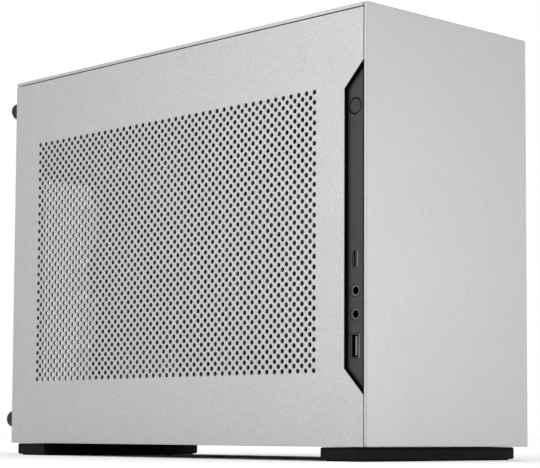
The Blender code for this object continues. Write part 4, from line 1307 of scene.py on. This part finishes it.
def card_trim():
    """Two wedges between the fans and a column of bars at each end."""
    low, high = box_mm("gpu_shroud")
    back, middle = high.x - 0.3, sum(CARD_FANS.values()) / 2
    shape = Shape()
    for side in (-1, 1):
        near, far = CARD_Z + side * 12, CARD_Z + side * 52
        wedge = [(middle, near), (middle + 7, far), (middle - 7, far)][::side]
        shape.prism(fillet(wedge, 1.2, 3), "x", back, high.x, 0.12)
    for y in (low.y + 3.2, high.y - 3.2):
        for k in range(7):
            z = CARD_Z - 30 + 10 * k
            shape.box((back, y - 1.2, z - 3.2), (high.x, y + 1.2, z + 3.2), 0.12)
    shape.make("gpu_shroud_trim", CASE, "black_plastic", "satin_grey")


def card_heatsink():
    """Thin fins across the card, the plate on its chip and five heat pipes."""
    low, high = box_mm("gpu_heatsink")
    fins, pipes = Shape(), Shape()
    last = 91
    for k in range(last + 1):
        y = low.y + 0.4 + k * (high.y - low.y - 1.2) / last
        fins.box((low.x + 2.5, y, low.z), (high.x - 0.1, y + 0.4, high.z), 0)
    fins.box((low.x, -25, 70), (low.x + 3, 60, 125), 0.4)
    fins.make("gpu_fins", CASE, "fin_aluminium", hides=["gpu_heatsink"])
    for z in (58, 78, 98, 118, 134):
        pipes.pipe([(low.x + 6, low.y + 1, z), (low.x + 6, high.y - 1, z)], 3, 16)
    pipes.make("gpu_heat_pipes", CASE, "plated_steel")


def card_backplate():
    """Sheet with a window behind the chip and six slanted vents."""
    low, high = box_mm("gpu_backplate")
    outline = fillet(rectangle((low.y, low.z), (high.y, high.z)), 4)
    holes = []
    for k in range(6):
        y, slant, wide = -98 + 9 * k, 8, 3.4
        vent = [(y, 70), (y + wide, 70), (y + slant + wide, 120), (y + slant, 120)]
        holes.append(fillet(vent, 1.2, 3))
    holes.append(fillet(rectangle((14, 66), (54, 112)), 3))
    shape = Shape().sheet(outline, holes, 1.4, lambda u, v, w: (low.x - w, u, v), 0.3)
    shape.make("gpu_back_sheet", CASE, "black_steel", "satin_grey", ["gpu_backplate"])


def graphics_card():
    card_shroud()
    card_trim()
    face = box_mm("gpu_shroud")[1]
    for place, y in CARD_FANS.items():
        centre = (face.x - 1.4, y, CARD_Z)
        rotor(f"gpu_fan_rotor_{place}", centre, (-1, 0, 0), 17, 47, 12.5, 11, 0.35, (48, 30))
    card_heatsink()
    card_backplate()
    socket = Shape()
    for k in range(8):
        y = -71 + 2.8 * k
        socket.band(rectangle((17, y), (25.6, y + 2.8)), 0.35, "z", 143, face.z + 0.02)
    socket.make("gpu_power_socket", CASE, "black_plastic")


RIBBON_PATH = [Vector(p) for p in (
    (-24.5, 18), (-24.5, 11), (-23.6, 8.6), (-21.5, 7.3), (-18, 7), (-6, 7),
    (4, 7), (7, 7.4), (8.9, 9), (9.4, 12), (9.4, 21),
)]
RIBBON_START, RIBBON_WIDE, STRANDS = 62, 76, 19


def riser():
    """Flat ribbon of joined strands between a plug on the board and the card's socket."""
    per_strand = 4
    rings = []
    for k, here in enumerate(RIBBON_PATH):
        run = RIBBON_PATH[min(k + 1, len(RIBBON_PATH) - 1)] - RIBBON_PATH[max(k - 1, 0)]
        out = Vector((-run.y, run.x)).normalized()
        upper, lower = [], []
        for j in range(per_strand * STRANDS + 1):
            y = RIBBON_START + j * RIBBON_WIDE / STRANDS / per_strand
            swell = out * (0.35 + 0.25 * abs(math.sin(math.pi * j / per_strand)))
            upper.append((here.x + swell.x, y, here.y + swell.y))
            lower.append((here.x - swell.x, y, here.y - swell.y))
        rings.append(upper + lower[::-1])
    ribbon = Shape().rings(rings)
    ribbon.make("riser_ribbon", CASE, "black_plastic", "cable_sheath", ["riser_cable"])
    ends = Shape()
    for low, high, bevel in (
        ((-30, 57, 17), (-19.6, 142, 26.9), 0.8),
        ((4.4, 52, 20), (8, 147, 36.4), 0.5),
        ((10.8, 52, 20), (14.4, 147, 36.4), 0.5),
        ((4.6, 52.2, 20.2), (14.2, 146.8, 28.6), 0.5),
        ((-28.6, 60, 15.4), (-21, 139, 17.2), 0.4),
    ):
        ends.box(low, high, bevel)
    ends.make("riser_connectors", CASE, "black_plastic")


# ---- leads and hoses ----


def run_of_lead(name, points, radius, paint):
    """A lead or hose that runs inside the case from one connector to another."""
    route = [(p + ORIGIN) * MM for p in smooth_route(points, 2.5 * radius)]
    data = bpy.data.curves.new(name, "CURVE")
    data.dimensions = "3D"
    data.bevel_depth = radius * MM
    data.bevel_resolution = 5
    data.use_fill_caps = True
    spline = data.splines.new("POLY")
    spline.points.add(len(route) - 1)
    for point, at in zip(spline.points, route):
        point.co = (*at, 1)
    data.materials.append(MATERIALS[paint])
    lead = bpy.data.objects.new(f"{name}_run", data)
    bpy.context.collection.objects.link(lead)
    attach(lead, BODY[name])
    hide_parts(name)


def leads():
    run_of_lead("coolant_hose_front", [
        (-38, 73, 145.2), (-38, 74, 156), (-38, 86, 170), (-37, 101, 176), (-35, 113, 184),
        (-34, 118.5, 197), (-34, 118.5, 211.7),
    ], 5, "hose_sleeve")
    run_of_lead("coolant_hose_rear", [
        (-38, 91, 145.2), (-39, 92, 153), (-44, 100, 164), (-49, 111, 177), (-51, 118.5, 193),
        (-51, 118.5, 211.7),
    ], 5, "hose_sleeve")
    run_of_lead("ac_lead", [
        (-30, 136.2, 208), (-30, 133, 208), (-37, 130.2, 205), (-50, 128, 200),
        (-60, 121, 197.5), (-64, 106, 197), (-64, 40, 197), (-64, -60, 197), (-64, -118, 198),
        (-63.5, -136, 200), (-56, -146, 200.5), (-44, -149, 195), (-34, -149, 180), (-30, -148, 150),
        (-30, -148, 110), (-30, -148, 85), (-30, -145, 68), (-30, -137.5, 61.5), (-30, -125, 61),
    ], 3, "cable_sheath")
    run_of_lead("atx_power_lead", [
        (-30, -34.4, 112), (-30, -29, 112), (-35, -17, 120), (-38, -8, 134), (-32, -5.8, 142),
        (-20.4, -5.8, 142),
    ], 4.5, "cable_sheath")
    run_of_lead("gpu_power_lead", [
        (-18, -34.4, 128), (-18, -30, 128), (-11, -23.5, 142), (0.7, -23.5, 153), (10, -26, 161),
        (19, -36, 169), (25, -50, 167), (26.5, -60, 158), (26.5, -60, 150.6),
    ], 3.5, "cable_sheath")


leads()
rear_wall()
machine_screws()
inlet_screws()
frame_rivets()
chipset_heatsink()
power_stage()
capacitors()
headers()
chip_parts()
memory_module("memory_module_1")
memory_module("memory_module_2")
pump()
pump_screws()
hose_collars()
rear_sockets()
atx_plug()
radiator()
case_fan("front")
case_fan("rear")
power_supply()
graphics_card()
riser()

# ---- finish ----

finish_nodes()
